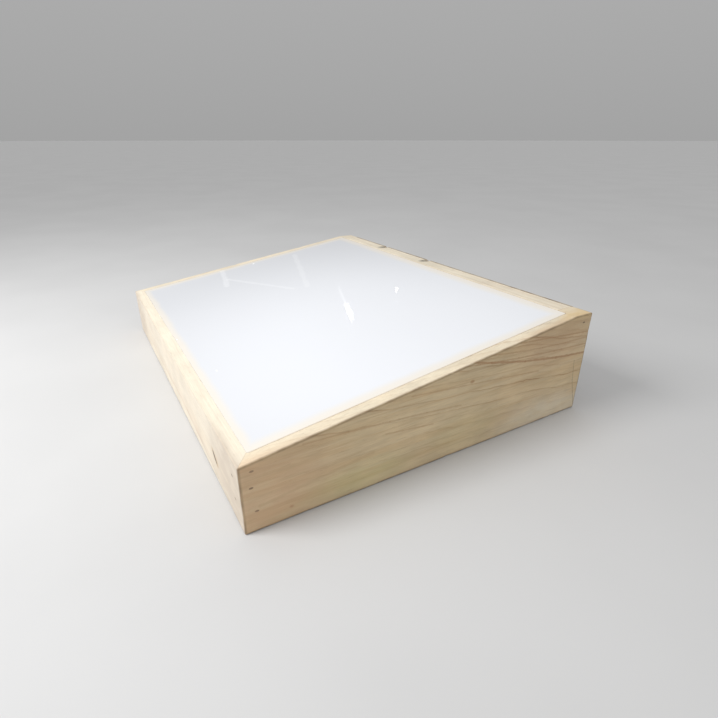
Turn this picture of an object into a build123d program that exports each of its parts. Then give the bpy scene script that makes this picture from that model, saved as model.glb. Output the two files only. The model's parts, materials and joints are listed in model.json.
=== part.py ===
"""Sloping light box: a nailed softwood frame, an opal diffuser and two fluorescent tubes.

Millimetres, +Z up, +Y towards the high rear edge. The origin is the bottom centre of the wooden box.
"""
from build123d import *
from math import atan2, cos, sin, tan
import os

# ---------------------------------------------------------------- driving dimensions

# wooden box
WIDTH = 400.0
DEPTH = 302.0
FRONT_HEIGHT = 49.5
REAR_HEIGHT = 89.0
SIDE_T = 19.0
FRONT_T = 16.0
REAR_T = 16.0
COVER_T = 3.0
COVER_EASE = 0.8
EASE = 1.0

# diffuser and its rabbet, measured along the slope
PANEL_T = 5.0
RIM_SIDE = 10.0
RIM_FRONT = 9.5
PANEL_GAP = 0.5
PANEL_EASE = 0.6
PANEL_CORNER_R = 1.5

# base
BASE_T = 6.0
BASE_LET_IN = 9.0
BASE_LET_IN_FRONT = 7.0
BASE_GAP = 0.2

# rear cleat, under the diffuser's rear edge
CLEAT_T = 10.0
CLEAT_BOTTOM = 66.0

# fasteners
NAIL_R = 0.9
NAIL_HEAD_R = 1.25
NAIL_HEAD_T = 0.9
NAIL_LENGTH = 36.0
NAIL_SUNK = 0.5
NAIL_POINT_R = 0.2
NAIL_POINT_L = 2.5
SCREW_R = 1.5
SCREW_HEAD_R = 3.0
SCREW_HEAD_T = 1.5
SCREW_POINT = 1.5
DOME_SHARE = 0.71
CROSS_L = 3.4
CROSS_W = 0.8
CROSS_DEPTH = 2.0
HOLE_GAP = 0.05
HOLE_ABOVE = 1.0

# lamps: 16 mm tube with two-pin caps
LAMP_R = 8.0
LAMP_LENGTH = 288.0
GLASS_T = 0.8
CAP_LENGTH = 9.0
CAP_FACE_T = 1.5
CAP_WALL = 0.3
CAP_EASE = 0.8
GLASS_GAP = 0.05
PIN_R = 1.18
PIN_SPACING = 4.75
PIN_LENGTH = 7.0
PIN_END_GAP = 0.2
LAMP_Y = (-75.0, 25.0)
LAMP_HEIGHT = 18.0
TRAY_T = 1.0

# lampholders
HOLDER_T = 12.0
HOLDER_W = 20.0
HOLDER_GAP = 0.5
ROTOR_R = 7.0
ROTOR_T = 7.6
ROTOR_GAP = 0.3
SLOT_GAP = 0.4
HOLDER_EASE = 1.2
FOOT_L = 12.0
FOOT_T = 3.0

# electrics on the rear cover
INLET_X = 118.0
SWITCH_X = 70.0
ELECTRICS_Z = 42.0
WINDOW_X = (48.0, 150.0)
WINDOW_Z = (24.0, 60.0)
WINDOW_CORNER_R = 3.0
FLANGE_T = 1.8
ROCKER_TILT = 10.0

# ballast
BALLAST_L = 150.0
BALLAST_W = 36.0
BALLAST_H = 27.0
BALLAST_WALL = 1.5
LUG_L = 10.0
LUG_T = 2.0
LUG_W = 14.0
FIXING_DEPTH = 5.4
BALLAST_X = -25.0
BALLAST_Y = 105.0

LEAD_R = 1.4
BEND_R = 3.5

# ---------------------------------------------------------------- derived places

FRONT_Y = -DEPTH / 2
REAR_Y = DEPTH / 2
LEDGE = REAR_T + COVER_T
INNER_X = WIDTH / 2 - SIDE_T
FRONT_INNER_Y = FRONT_Y + FRONT_T
REAR_INNER_Y = REAR_Y - LEDGE
COVER_Y = REAR_Y - COVER_T
RUN = DEPTH - LEDGE
SLOPE = atan2(REAR_HEIGHT - FRONT_HEIGHT, RUN)
SLOPE_LENGTH = RUN / cos(SLOPE)
SLOPE_PLANE = Plane(
    origin=(0, FRONT_Y, FRONT_HEIGHT), x_dir=(1, 0, 0), z_dir=(0, -sin(SLOPE), cos(SLOPE))
)
TRAY_Z = BASE_T + TRAY_T
LAMP_Z = TRAY_Z + LAMP_HEIGHT
HOLDER_X = LAMP_LENGTH / 2 + HOLDER_GAP

os.makedirs("parts", exist_ok=True)


def save(part, name):
    """Label a finished piece and write it to its own file."""
    part.label = name
    export_step(part, f"parts/{name}.step")


# ---------------------------------------------------------------- fastener patterns


def nail(gap=0.0, above=0.0):
    """A wire nail along -Z with its head's top at the origin, or the hole for one."""
    with BuildPart() as wire_nail:
        with Locations((0, 0, -NAIL_HEAD_T)):
            Cylinder(NAIL_HEAD_R + gap, NAIL_HEAD_T + above, align=(Align.CENTER, Align.CENTER, Align.MIN))
        with Locations((0, 0, -NAIL_LENGTH)):
            Cylinder(NAIL_R + gap, NAIL_LENGTH - NAIL_HEAD_T, align=(Align.CENTER, Align.CENTER, Align.MIN))
        with Locations((0, 0, -NAIL_LENGTH)):
            Cone(
                NAIL_POINT_R, NAIL_R + gap, NAIL_POINT_L, align=(Align.CENTER, Align.CENTER, Align.MAX)
            )
    return wire_nail.part


def flat_screw(length, gap=0.0, above=0.0, point=SCREW_POINT):
    """A cross-slotted countersunk screw along -Z, its rim at the origin, or the hole for one."""
    rim = SCREW_HEAD_R + gap
    shank = SCREW_R + gap
    outline = [
        (0, -length - point), (shank, -length), (shank, -SCREW_HEAD_T), (rim, 0), (rim, above), (0, above)
    ]
    with BuildPart() as wood_screw:
        with BuildSketch(Plane.XZ):
            with BuildLine():
                Polyline(*dict.fromkeys(outline), close=True)
            make_face()
        revolve(axis=Axis.Z)
        if gap == 0.0:
            Box(CROSS_L, CROSS_W, CROSS_DEPTH, mode=Mode.SUBTRACT)
            Box(CROSS_W, CROSS_L, CROSS_DEPTH, mode=Mode.SUBTRACT)
    return wood_screw.part


def round_screw(length, point=SCREW_POINT):
    """A cross-slotted round-head screw along -Z, with the underside of its head at the origin."""
    with BuildPart() as wood_screw:
        with BuildSketch(Plane.XZ):
            with BuildLine():
                ThreePointArc(
                    (0, SCREW_HEAD_T), (SCREW_HEAD_R * DOME_SHARE, SCREW_HEAD_T * DOME_SHARE),
                    (SCREW_HEAD_R, 0),
                )
                Polyline(
                    (SCREW_HEAD_R, 0), (SCREW_R, 0), (SCREW_R, -length), (0, -length - point),
                    (0, SCREW_HEAD_T),
                )
            make_face()
        revolve(axis=Axis.Z)
        with Locations((0, 0, SCREW_HEAD_T)):
            Box(CROSS_L, CROSS_W, CROSS_DEPTH, mode=Mode.SUBTRACT)
            Box(CROSS_W, CROSS_L, CROSS_DEPTH, mode=Mode.SUBTRACT)
    return wood_screw.part


# Nails: three through each end of each side board, at half the thickness of the board behind.
NAIL_PLACES = [
    (FRONT_Y + 8.2, 44.9), (FRONT_Y + 6.9, 33.3), (FRONT_Y + 8.9, 15.4),
    (REAR_Y - 9.5, 82.2), (REAR_Y - 8.4, 54.0), (REAR_Y - 10.0, 19.0),
]


def nail_planes(side, sunk):
    """Planes at the nails of one side board, facing out of it."""
    x = side * (WIDTH / 2 - sunk)
    return [Plane(origin=(x, y, z), z_dir=(side, 0, 0)) for y, z in NAIL_PLACES]


# Base screws, up into all four boards.
BASE_EDGE_X = INNER_X + BASE_LET_IN
BASE_FRONT_Y = FRONT_INNER_Y - BASE_LET_IN_FRONT
BASE_REAR_Y = REAR_INNER_Y + BASE_LET_IN
BASE_SCREW_LENGTH = 18.0
SIDE_SCREWS_X = (-INNER_X - BASE_LET_IN / 2, INNER_X + BASE_LET_IN / 2)
SIDE_SCREWS_Y = (-100, 0, 100)
END_SCREWS_X = (-110, 0, 110)
END_SCREWS_Y = (FRONT_INNER_Y - BASE_LET_IN_FRONT / 2, REAR_INNER_Y + BASE_LET_IN / 2)
BASE_SCREW_PLACES = [(x, y) for x in SIDE_SCREWS_X for y in SIDE_SCREWS_Y]
BASE_SCREW_PLACES += [(x, y) for x in END_SCREWS_X for y in END_SCREWS_Y]
BASE_SCREW_PLANES = [Plane(origin=(x, y, 0), z_dir=(0, 0, -1)) for x, y in BASE_SCREW_PLACES]
BASE_SCREW_HOLE = flat_screw(BASE_SCREW_LENGTH, HOLE_GAP, HOLE_ABOVE)

# Rear cover screws, forward into the rear board.
COVER_SCREW_LENGTH = 14.0
COVER_SCREWS_X = (-168, -60, 36, 168)
COVER_SCREWS_Z = (12, 74)
COVER_SCREW_PLACES = [(x, z) for x in COVER_SCREWS_X for z in COVER_SCREWS_Z]
COVER_SCREW_PLANES = [Plane(origin=(x, REAR_Y, z), z_dir=(0, 1, 0)) for x, z in COVER_SCREW_PLACES]
COVER_SCREW_HOLE = flat_screw(COVER_SCREW_LENGTH, HOLE_GAP, HOLE_ABOVE)

# Rear cleat screws, rearward through the cleat into the rear board.
CLEAT_SCREW_LENGTH = 20.0
CLEAT_SCREWS_X = (-150, -50, 50, 150)
CLEAT_SCREW_UP = 7.0
CLEAT_SCREW_Z = CLEAT_BOTTOM + CLEAT_SCREW_UP
CLEAT_SCREW_PLANES = [
    Plane(origin=(x, REAR_INNER_Y - CLEAT_T, CLEAT_SCREW_Z), z_dir=(0, -1, 0)) for x in CLEAT_SCREWS_X
]
CLEAT_SCREW_HOLE = flat_screw(CLEAT_SCREW_LENGTH, HOLE_GAP, HOLE_ABOVE)

NAIL_HOLE = nail(HOLE_GAP, HOLE_ABOVE)


# Everything that is screwed down inside: tray, lampholders, earth tag and ballast.
TRAY_X = 172.0
TRAY_Y = (-122.0, 70.0)
TRAY_LIP = 12.0
TRAY_BEND_R = 3.0
TRAY_SCREW_LENGTH = 4.0
HOLDER_SCREW_LENGTH = 7.0
BALLAST_SCREW_LENGTH = 5.0
TAG_T = 0.8
TRAY_SCREWS_X = (-120, 0, 120)
TRAY_SCREWS_Y = (-104, 50)
TRAY_SCREW_PLANES = [
    Plane(origin=(x, y, TRAY_Z), z_dir=(0, 0, 1)) for x in TRAY_SCREWS_X for y in TRAY_SCREWS_Y
]
EARTH_X = 150.0
EARTH_Y = 42.0
EARTH_SCREW_PLANE = Plane(origin=(EARTH_X, EARTH_Y, TRAY_Z + TAG_T), z_dir=(0, 0, 1))
HOLDER_PLACES = [(lamp, y, side) for lamp, y in enumerate(LAMP_Y, 1) for side in (-1, 1)]
HOLDER_SCREW_PLANES = [
    Plane(origin=(side * (HOLDER_X + HOLDER_T + FOOT_L / 2), y, TRAY_Z + FOOT_T), z_dir=(0, 0, 1))
    for _, y, side in HOLDER_PLACES
]
BALLAST_SCREW_PLANES = [
    Plane(origin=(BALLAST_X + side * (BALLAST_L + LUG_L) / 2, BALLAST_Y, BASE_T + LUG_T), z_dir=(0, 0, 1))
    for side in (-1, 1)
]
FIXING_PLANES = TRAY_SCREW_PLANES + [EARTH_SCREW_PLANE] + HOLDER_SCREW_PLANES + BALLAST_SCREW_PLANES


def fixing_holes():
    """Clearance holes from above the tray to just above the underside of the base."""
    with BuildPart() as holes:
        with BuildSketch(Plane.XY.offset(BASE_T - FIXING_DEPTH)):
            with Locations(*[(p.origin.X, p.origin.Y) for p in FIXING_PLANES]):
                Circle(SCREW_R + HOLE_GAP)
        extrude(amount=FIXING_DEPTH + 2 * TRAY_T)
    return holes.part


def base_space():
    """The flat rebate that takes the base, all round the frame's inner bottom edge."""
    with BuildPart() as space:
        with BuildSketch():
            with Locations((0, (BASE_FRONT_Y + BASE_REAR_Y) / 2)):
                Rectangle(2 * BASE_EDGE_X, BASE_REAR_Y - BASE_FRONT_Y)
        extrude(amount=BASE_T)
    return space.part


def panel_space():
    """The stopped rabbet that takes the diffuser, square to the slope."""
    with BuildPart() as space:
        with BuildSketch(SLOPE_PLANE):
            with Locations((0, (RIM_FRONT + SLOPE_LENGTH) / 2)):
                RectangleRounded(WIDTH - 2 * RIM_SIDE, SLOPE_LENGTH - RIM_FRONT, PANEL_CORNER_R)
        extrude(amount=PANEL_T, both=True)
    return space.part


BASE_SPACE = base_space()
PANEL_SPACE = panel_space()
FIXING_HOLES = fixing_holes()

# ---------------------------------------------------------------- wooden frame


def board_profile(front_y, rear_y):
    """The frame's side outline between two depths: flat ledge behind, slope in front."""
    front_top = FRONT_HEIGHT + (front_y - FRONT_Y) * tan(SLOPE)
    points = [(front_y, 0), (rear_y, 0), (rear_y, REAR_HEIGHT)]
    if front_y < REAR_INNER_Y < rear_y:
        points.append((REAR_INNER_Y, REAR_HEIGHT))
    points.append((front_y, front_top))
    return points


def beyond_mitre(side, wants_front):
    """The space on one side of a front corner's mitre: in front of it, or outside it."""
    inner = (INNER_X, FRONT_INNER_Y)
    past_corner = (WIDTH / 2 + SIDE_T, FRONT_Y - FRONT_T)
    third = (inner[0], past_corner[1]) if wants_front else (past_corner[0], inner[1])
    with BuildPart() as space:
        with BuildSketch():
            with BuildLine():
                Polyline(*[(side * x, y) for x, y in (inner, past_corner, third)], close=True)
            make_face()
        extrude(amount=REAR_HEIGHT)
    return space.part


for side, side_name in ((-1, "left"), (1, "right")):
    with BuildPart() as side_board:
        with BuildSketch(Plane.YZ.offset(side * (WIDTH / 2 - SIDE_T / 2))):
            with BuildLine():
                Polyline(*board_profile(FRONT_Y, REAR_Y), close=True)
            make_face()
        extrude(amount=SIDE_T / 2, both=True)
        outer_face = side_board.faces().sort_by(Axis.X)[-1 if side > 0 else 0]
        across = side_board.edges().filter_by(Axis.X)
        corner_edges = across.group_by(Axis.Y)[0] + across.group_by(Axis.Y)[-1]
        fillet(outer_face.edges() + corner_edges, EASE)
        add(beyond_mitre(side, wants_front=True), mode=Mode.SUBTRACT)
        add(PANEL_SPACE, mode=Mode.SUBTRACT)
        add(BASE_SPACE, mode=Mode.SUBTRACT)
        with Locations(*nail_planes(side, NAIL_SUNK)):
            add(NAIL_HOLE, mode=Mode.SUBTRACT)
        with Locations(*BASE_SCREW_PLANES):
            add(BASE_SCREW_HOLE, mode=Mode.SUBTRACT)
    save(side_board.part, f"{side_name}_side_board")

with BuildPart() as front_board:
    with BuildSketch(Plane.YZ):
        with BuildLine():
            Polyline(
                (FRONT_Y, 0), (FRONT_INNER_Y, 0),
                (FRONT_INNER_Y, FRONT_HEIGHT + FRONT_T * tan(SLOPE)), (FRONT_Y, FRONT_HEIGHT), close=True,
            )
        make_face()
    extrude(amount=WIDTH / 2, both=True)
    front_edges = front_board.edges().filter_by(Axis.X).group_by(Axis.Y)[0]
    ends = front_board.faces().filter_by(Axis.X)
    fillet(front_edges + ends.edges(), EASE)
    add(PANEL_SPACE, mode=Mode.SUBTRACT)
    add(BASE_SPACE, mode=Mode.SUBTRACT)
    for side in (-1, 1):
        add(beyond_mitre(side, wants_front=False), mode=Mode.SUBTRACT)
        with Locations(*nail_planes(side, NAIL_SUNK)):
            add(NAIL_HOLE, mode=Mode.SUBTRACT)
    with Locations(*BASE_SCREW_PLANES):
        add(BASE_SCREW_HOLE, mode=Mode.SUBTRACT)
save(front_board.part, "front_board")

# Two nicks worn into the outer top arris of the rear board and its cover, each a shallow scoop.
NICKS_X = (WIDTH * -0.259, WIDTH * -0.0395)
NICK_R = 9.0
NICK_DEPTH = 1.3
NICK_LENGTH = 11.5

with BuildPart() as nicks:
    with BuildSketch(Plane.XZ.offset(-REAR_Y)):
        with Locations(*[(x, REAR_HEIGHT - NICK_DEPTH + NICK_R) for x in NICKS_X]):
            Circle(NICK_R)
    extrude(amount=NICK_LENGTH)
NICK_SPACE = nicks.part

with BuildPart() as rear_board:
    with BuildSketch(Plane.XZ.offset(-COVER_Y)):
        with Locations((0, REAR_HEIGHT / 2)):
            Rectangle(2 * INNER_X, REAR_HEIGHT)
        with Locations((sum(WINDOW_X) / 2, sum(WINDOW_Z) / 2)):
            RectangleRounded(
                WINDOW_X[1] - WINDOW_X[0], WINDOW_Z[1] - WINDOW_Z[0], WINDOW_CORNER_R, mode=Mode.SUBTRACT
            )
    extrude(amount=REAR_T)
    add(NICK_SPACE, mode=Mode.SUBTRACT)
    add(BASE_SPACE, mode=Mode.SUBTRACT)
    for side in (-1, 1):
        with Locations(*nail_planes(side, NAIL_SUNK)):
            add(NAIL_HOLE, mode=Mode.SUBTRACT)
    with Locations(*BASE_SCREW_PLANES):
        add(BASE_SCREW_HOLE, mode=Mode.SUBTRACT)
    with Locations(*COVER_SCREW_PLANES):
        add(COVER_SCREW_HOLE, mode=Mode.SUBTRACT)
    with Locations(*CLEAT_SCREW_PLANES):
        add(CLEAT_SCREW_HOLE, mode=Mode.SUBTRACT)
save(rear_board.part, "rear_board")

with BuildPart() as rear_cleat:
    with BuildSketch(Plane.YZ):
        with BuildLine():
            cleat_y = REAR_INNER_Y - CLEAT_T
            under = PANEL_T / cos(SLOPE)
            Polyline(
                (cleat_y, CLEAT_BOTTOM), (REAR_INNER_Y, CLEAT_BOTTOM), (REAR_INNER_Y, REAR_HEIGHT - under),
                (cleat_y, REAR_HEIGHT - under - CLEAT_T * tan(SLOPE)), close=True,
            )
        make_face()
    extrude(amount=INNER_X - PANEL_GAP, both=True)
    with Locations(*CLEAT_SCREW_PLANES):
        add(CLEAT_SCREW_HOLE, mode=Mode.SUBTRACT)
save(rear_cleat.part, "rear_cleat")

with BuildPart() as base_panel:
    with BuildSketch():
        with Locations((0, (BASE_FRONT_Y + BASE_REAR_Y) / 2)):
            Rectangle(2 * (BASE_EDGE_X - BASE_GAP), BASE_REAR_Y - BASE_FRONT_Y - 2 * BASE_GAP)
    extrude(amount=BASE_T)
    with Locations(*BASE_SCREW_PLANES):
        add(BASE_SCREW_HOLE, mode=Mode.SUBTRACT)
    add(FIXING_HOLES, mode=Mode.SUBTRACT)
save(base_panel.part, "base_panel")

# ---------------------------------------------------------------- fasteners of the frame

for side, side_name in ((-1, "left"), (1, "right")):
    with BuildPart() as side_nails:
        with Locations(*nail_planes(side, NAIL_SUNK)):
            add(nail())
    save(side_nails.part, f"{side_name}_side_nails")

with BuildPart() as base_screws:
    with Locations(*BASE_SCREW_PLANES):
        add(flat_screw(BASE_SCREW_LENGTH))
save(base_screws.part, "base_screws")

with BuildPart() as cleat_screws:
    with Locations(*CLEAT_SCREW_PLANES):
        add(flat_screw(CLEAT_SCREW_LENGTH))
save(cleat_screws.part, "cleat_screws")

with BuildPart() as rear_cover_screws:
    with Locations(*COVER_SCREW_PLANES):
        add(flat_screw(COVER_SCREW_LENGTH))
save(rear_cover_screws.part, "rear_cover_screws")

# ---------------------------------------------------------------- diffuser

PANEL_START = RIM_FRONT + PANEL_GAP
PANEL_END = SLOPE_LENGTH - PANEL_T * tan(SLOPE) - PANEL_GAP

with BuildPart() as diffuser_panel:
    with BuildSketch(SLOPE_PLANE.offset(-PANEL_T)):
        with Locations((0, (PANEL_START + PANEL_END) / 2)):
            RectangleRounded(
                WIDTH - 2 * (RIM_SIDE + PANEL_GAP), PANEL_END - PANEL_START, PANEL_CORNER_R
            )
    extrude(amount=PANEL_T)
    top_face = diffuser_panel.faces().sort_by(Axis(SLOPE_PLANE.origin, SLOPE_PLANE.z_dir))[-1]
    chamfer(top_face.edges(), PANEL_EASE)
save(diffuser_panel.part, "diffuser_panel")

# ---------------------------------------------------------------- reflector tray

with BuildPart() as reflector_tray:
    with BuildSketch(Plane.YZ):
        with BuildLine():
            front_y, rear_y = TRAY_Y
            FilletPolyline(
                (front_y, BASE_T + TRAY_LIP), (front_y + TRAY_LIP, BASE_T),
                (rear_y - TRAY_LIP, BASE_T), (rear_y, BASE_T + TRAY_LIP), radius=TRAY_BEND_R,
            )
            offset(amount=TRAY_T, side=Side.LEFT)
        make_face()
    extrude(amount=TRAY_X, both=True)
    add(FIXING_HOLES, mode=Mode.SUBTRACT)
save(reflector_tray.part, "reflector_tray")

with BuildPart() as tray_screws:
    with Locations(*TRAY_SCREW_PLANES):
        add(round_screw(TRAY_SCREW_LENGTH))
save(tray_screws.part, "tray_screws")

with BuildPart() as lampholder_screws:
    with Locations(*HOLDER_SCREW_PLANES):
        add(round_screw(HOLDER_SCREW_LENGTH))
save(lampholder_screws.part, "lampholder_screws")

# ---------------------------------------------------------------- lampholders and tubes


def lampholder(y, side):
    """One holder: an upright with a rotor recess and a slot for the pins, on a screwed foot."""
    with BuildPart() as holder:
        with BuildSketch(Plane.YZ.offset(side * HOLDER_X)):
            with Locations((y, TRAY_Z + LAMP_HEIGHT / 2)):
                Rectangle(HOLDER_W, LAMP_HEIGHT)
            with Locations((y, LAMP_Z)):
                Circle(HOLDER_W / 2)
        extrude(amount=side * HOLDER_T)
        back = holder.faces().sort_by(Axis.X)[-1 if side > 0 else 0]
        chamfer(back.edges().filter_by(GeomType.CIRCLE), HOLDER_EASE)
        with BuildSketch(Plane.YZ.offset(side * (HOLDER_X + HOLDER_T))):
            with Locations((y, TRAY_Z + FOOT_T / 2)):
                Rectangle(HOLDER_W, FOOT_T)
        extrude(amount=side * FOOT_L)
        with BuildSketch(Plane.YZ.offset(side * HOLDER_X)):
            with Locations((y, LAMP_Z)):
                Circle(ROTOR_R + ROTOR_GAP)
            with Locations((y, LAMP_Z + HOLDER_W / 2)):
                Rectangle(2 * (PIN_R + SLOT_GAP), HOLDER_W)
        extrude(amount=side * (ROTOR_T + ROTOR_GAP), mode=Mode.SUBTRACT)
        with Locations(*HOLDER_SCREW_PLANES):
            Cylinder(SCREW_R + HOLE_GAP, 3 * FOOT_T, mode=Mode.SUBTRACT)
    return holder.part


def rotor(y, side):
    """The quarter-turn disc inside a holder, slotted across for the two pins."""
    with BuildPart() as disc:
        with BuildSketch(Plane.YZ.offset(side * HOLDER_X)):
            with Locations((y, LAMP_Z)):
                Circle(ROTOR_R)
        extrude(amount=side * ROTOR_T)
        with BuildSketch(Plane.YZ.offset(side * HOLDER_X)):
            with Locations((y, LAMP_Z)):
                Rectangle(3 * ROTOR_R, 2 * (PIN_R + HOLE_GAP))
        extrude(amount=side * PIN_LENGTH, mode=Mode.SUBTRACT)
    return disc.part


def along_lamp(y, x):
    """A plane square to a tube's axis, facing +X."""
    return Plane(origin=(x, y, LAMP_Z), x_dir=(0, 1, 0), z_dir=(1, 0, 0))


for lamp, y in enumerate(LAMP_Y, 1):
    half = LAMP_LENGTH / 2
    glass_half = half - CAP_FACE_T
    glass_r = LAMP_R - CAP_WALL - GLASS_GAP
    with BuildPart() as glass:
        with BuildSketch(along_lamp(y, 0)):
            Circle(glass_r)
            Circle(glass_r - GLASS_T, mode=Mode.SUBTRACT)
        extrude(amount=glass_half, both=True)
    save(glass.part, f"lamp_{lamp}_glass")

    with BuildPart() as caps:
        for side in (-1, 1):
            with BuildSketch(along_lamp(y, side * half)):
                Circle(LAMP_R)
            extrude(amount=-side * CAP_LENGTH)
            with BuildSketch(along_lamp(y, side * glass_half)):
                Circle(LAMP_R - CAP_WALL)
            extrude(amount=-side * CAP_LENGTH, mode=Mode.SUBTRACT)
            with BuildSketch(along_lamp(y, side * half)):
                with GridLocations(PIN_SPACING, 1, 2, 1):
                    Circle(PIN_R)
            extrude(amount=-side * 2 * CAP_FACE_T, mode=Mode.SUBTRACT)
        rims = caps.edges().filter_by(GeomType.CIRCLE).filter_by(lambda e: e.radius > LAMP_R - CAP_WALL / 2)
        fillet(rims.group_by(Axis.X)[0] + rims.group_by(Axis.X)[-1], CAP_EASE)
    save(caps.part, f"lamp_{lamp}_caps")

    with BuildPart() as pins:
        for side in (-1, 1):
            with BuildSketch(along_lamp(y, side * glass_half)):
                with GridLocations(PIN_SPACING, 1, 2, 1):
                    Circle(PIN_R)
            extrude(amount=side * (CAP_FACE_T + PIN_LENGTH - PIN_END_GAP))
    save(pins.part, f"lamp_{lamp}_pins")

for lamp, y, side in HOLDER_PLACES:
    end_name = "left" if side < 0 else "right"
    save(lampholder(y, side), f"lampholder_{lamp}_{end_name}")
    save(rotor(y, side), f"rotor_{lamp}_{end_name}")

# ---------------------------------------------------------------- ballast

BALLAST_CORNER_R = 2.5
BALLAST_PORT_R = 2.2
LAMP_PORT_Z = BASE_T + 8.0
LAMP_PORTS_Y = (BALLAST_Y - 9.0, BALLAST_Y + 2.0)
MAINS_PORT_Z = BASE_T + 19.0
MAINS_PORTS_Y = (BALLAST_Y - 5.0, BALLAST_Y + 9.0)
COVER_PLUG_GAP = 0.2
COVER_PLUG_DEPTH = 2.0
COVER_CHAMFER = 0.5

with BuildPart() as ballast_case:
    with Locations((BALLAST_X, BALLAST_Y, BASE_T)):
        Box(BALLAST_L, BALLAST_W, BALLAST_H, align=(Align.CENTER, Align.CENTER, Align.MIN))
        fillet(ballast_case.edges().filter_by(Axis.Z), BALLAST_CORNER_R)
        Box(
            BALLAST_L + 2 * LUG_L, LUG_W, LUG_T, align=(Align.CENTER, Align.CENTER, Align.MIN)
        )
    with Locations((BALLAST_X, BALLAST_Y, BASE_T + BALLAST_WALL)):
        Box(
            BALLAST_L - 2 * BALLAST_WALL, BALLAST_W - 2 * BALLAST_WALL, BALLAST_H,
            align=(Align.CENTER, Align.CENTER, Align.MIN), mode=Mode.SUBTRACT,
        )
    with Locations(*BALLAST_SCREW_PLANES):
        Cylinder(SCREW_R + HOLE_GAP, 3 * LUG_T, mode=Mode.SUBTRACT)
    with BuildSketch(Plane.YZ.offset(BALLAST_X)):
        with Locations(*[(y, LAMP_PORT_Z) for y in LAMP_PORTS_Y]):
            Circle(BALLAST_PORT_R)
    extrude(amount=BALLAST_L, both=True, mode=Mode.SUBTRACT)
    with BuildSketch(Plane.YZ.offset(BALLAST_X)):
        with Locations(*[(y, MAINS_PORT_Z) for y in MAINS_PORTS_Y]):
            Circle(BALLAST_PORT_R)
    extrude(amount=BALLAST_L, mode=Mode.SUBTRACT)
save(ballast_case.part, "ballast_case")

with BuildPart() as ballast_cover:
    with Locations((BALLAST_X, BALLAST_Y, BASE_T + BALLAST_H)):
        Box(BALLAST_L, BALLAST_W, BALLAST_WALL, align=(Align.CENTER, Align.CENTER, Align.MIN))
        fillet(ballast_cover.edges().filter_by(Axis.Z), BALLAST_CORNER_R)
        plug_inset = 2 * (BALLAST_WALL + COVER_PLUG_GAP)
        Box(
            BALLAST_L - plug_inset, BALLAST_W - plug_inset, COVER_PLUG_DEPTH,
            align=(Align.CENTER, Align.CENTER, Align.MAX),
        )
    top = ballast_cover.faces().sort_by(Axis.Z)[-1]
    chamfer(top.edges(), COVER_CHAMFER)
save(ballast_cover.part, "ballast_cover")

with BuildPart() as ballast_screws:
    with Locations(*BALLAST_SCREW_PLANES):
        add(round_screw(BALLAST_SCREW_LENGTH))
save(ballast_screws.part, "ballast_screws")

# ---------------------------------------------------------------- rear cover, inlet and switch

INLET_SCREW_X = (INLET_X - 20.0, INLET_X + 20.0)
INLET_BODY = (27.0, 19.8)
INLET_DEPTH = 21.0
INLET_FLOOR = 3.0
INLET_FLANGE = (50.0, 22.4)
INLET_CORNER_R = 4.0
FLANGE_CHAMFER = 0.5
SOCKET = (24.2, 16.4)
SOCKET_DEPTH = 16.0
SOCKET_CORNER = 5.0
BLADE = (2.0, 4.0)
BLADE_PLACES = {"live": (7.0, -2.0), "neutral": (-7.0, -2.0), "earth": (0.0, 2.0)}
TAB_T = 0.8
INLET_TAB_W = 6.3
INLET_TAB_L = 9.0
MACHINE_SCREW_LENGTH = 8.0
MACHINE_POINT = 0.4
NUT_R = 3.1
NUT_T = 2.4

BEZEL = (15.0, 21.0)
BEZEL_CORNER_R = 1.5
SWITCH_BODY = (12.8, 19.0)
SWITCH_DEPTH = 17.0
SWITCH_FLOOR = 4.0
SWITCH_WELL = (10.0, 16.6)
SWITCH_WELL_DEPTH = 10.8
SWITCH_TAB_W = 4.8
SWITCH_TABS_Z = (ELECTRICS_Z + 5.0, ELECTRICS_Z - 5.0)
ROCKER_W = 9.4
PIVOT_Y = REAR_Y - 2.0
PIVOT_R = 1.0
PIVOT_L = 11.6
PIVOT_END_GAP = 0.2
CUTOUT_GAP = 0.2

OUTSIDE = Plane.XZ.offset(-REAR_Y)
MACHINE_HOLE = flat_screw(MACHINE_SCREW_LENGTH, HOLE_GAP, HOLE_ABOVE, MACHINE_POINT)
MACHINE_SCREW_PLANES = [
    Plane(origin=(x, REAR_Y + FLANGE_T, ELECTRICS_Z), z_dir=(0, 1, 0)) for x in INLET_SCREW_X
]


with BuildPart() as rear_cover:
    with BuildSketch(OUTSIDE):
        with Locations((0, REAR_HEIGHT / 2)):
            Rectangle(2 * (INNER_X - BASE_GAP), REAR_HEIGHT)
        with Locations((INLET_X, ELECTRICS_Z)):
            Rectangle(INLET_BODY[0] + CUTOUT_GAP, INLET_BODY[1] + CUTOUT_GAP, mode=Mode.SUBTRACT)
        with Locations((SWITCH_X, ELECTRICS_Z)):
            Rectangle(SWITCH_BODY[0] + CUTOUT_GAP, SWITCH_BODY[1] + CUTOUT_GAP, mode=Mode.SUBTRACT)
        with Locations(*[(x, ELECTRICS_Z) for x in INLET_SCREW_X]):
            Circle(SCREW_R + HOLE_GAP, mode=Mode.SUBTRACT)
    extrude(amount=COVER_T)
    top_edge = rear_cover.edges().filter_by(Axis.X).group_by(Axis.Z)[-1].sort_by(Axis.Y)[-1]
    fillet(top_edge, COVER_EASE)
    add(NICK_SPACE, mode=Mode.SUBTRACT)
    with Locations(*COVER_SCREW_PLANES):
        add(COVER_SCREW_HOLE, mode=Mode.SUBTRACT)
save(rear_cover.part, "rear_cover")


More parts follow.
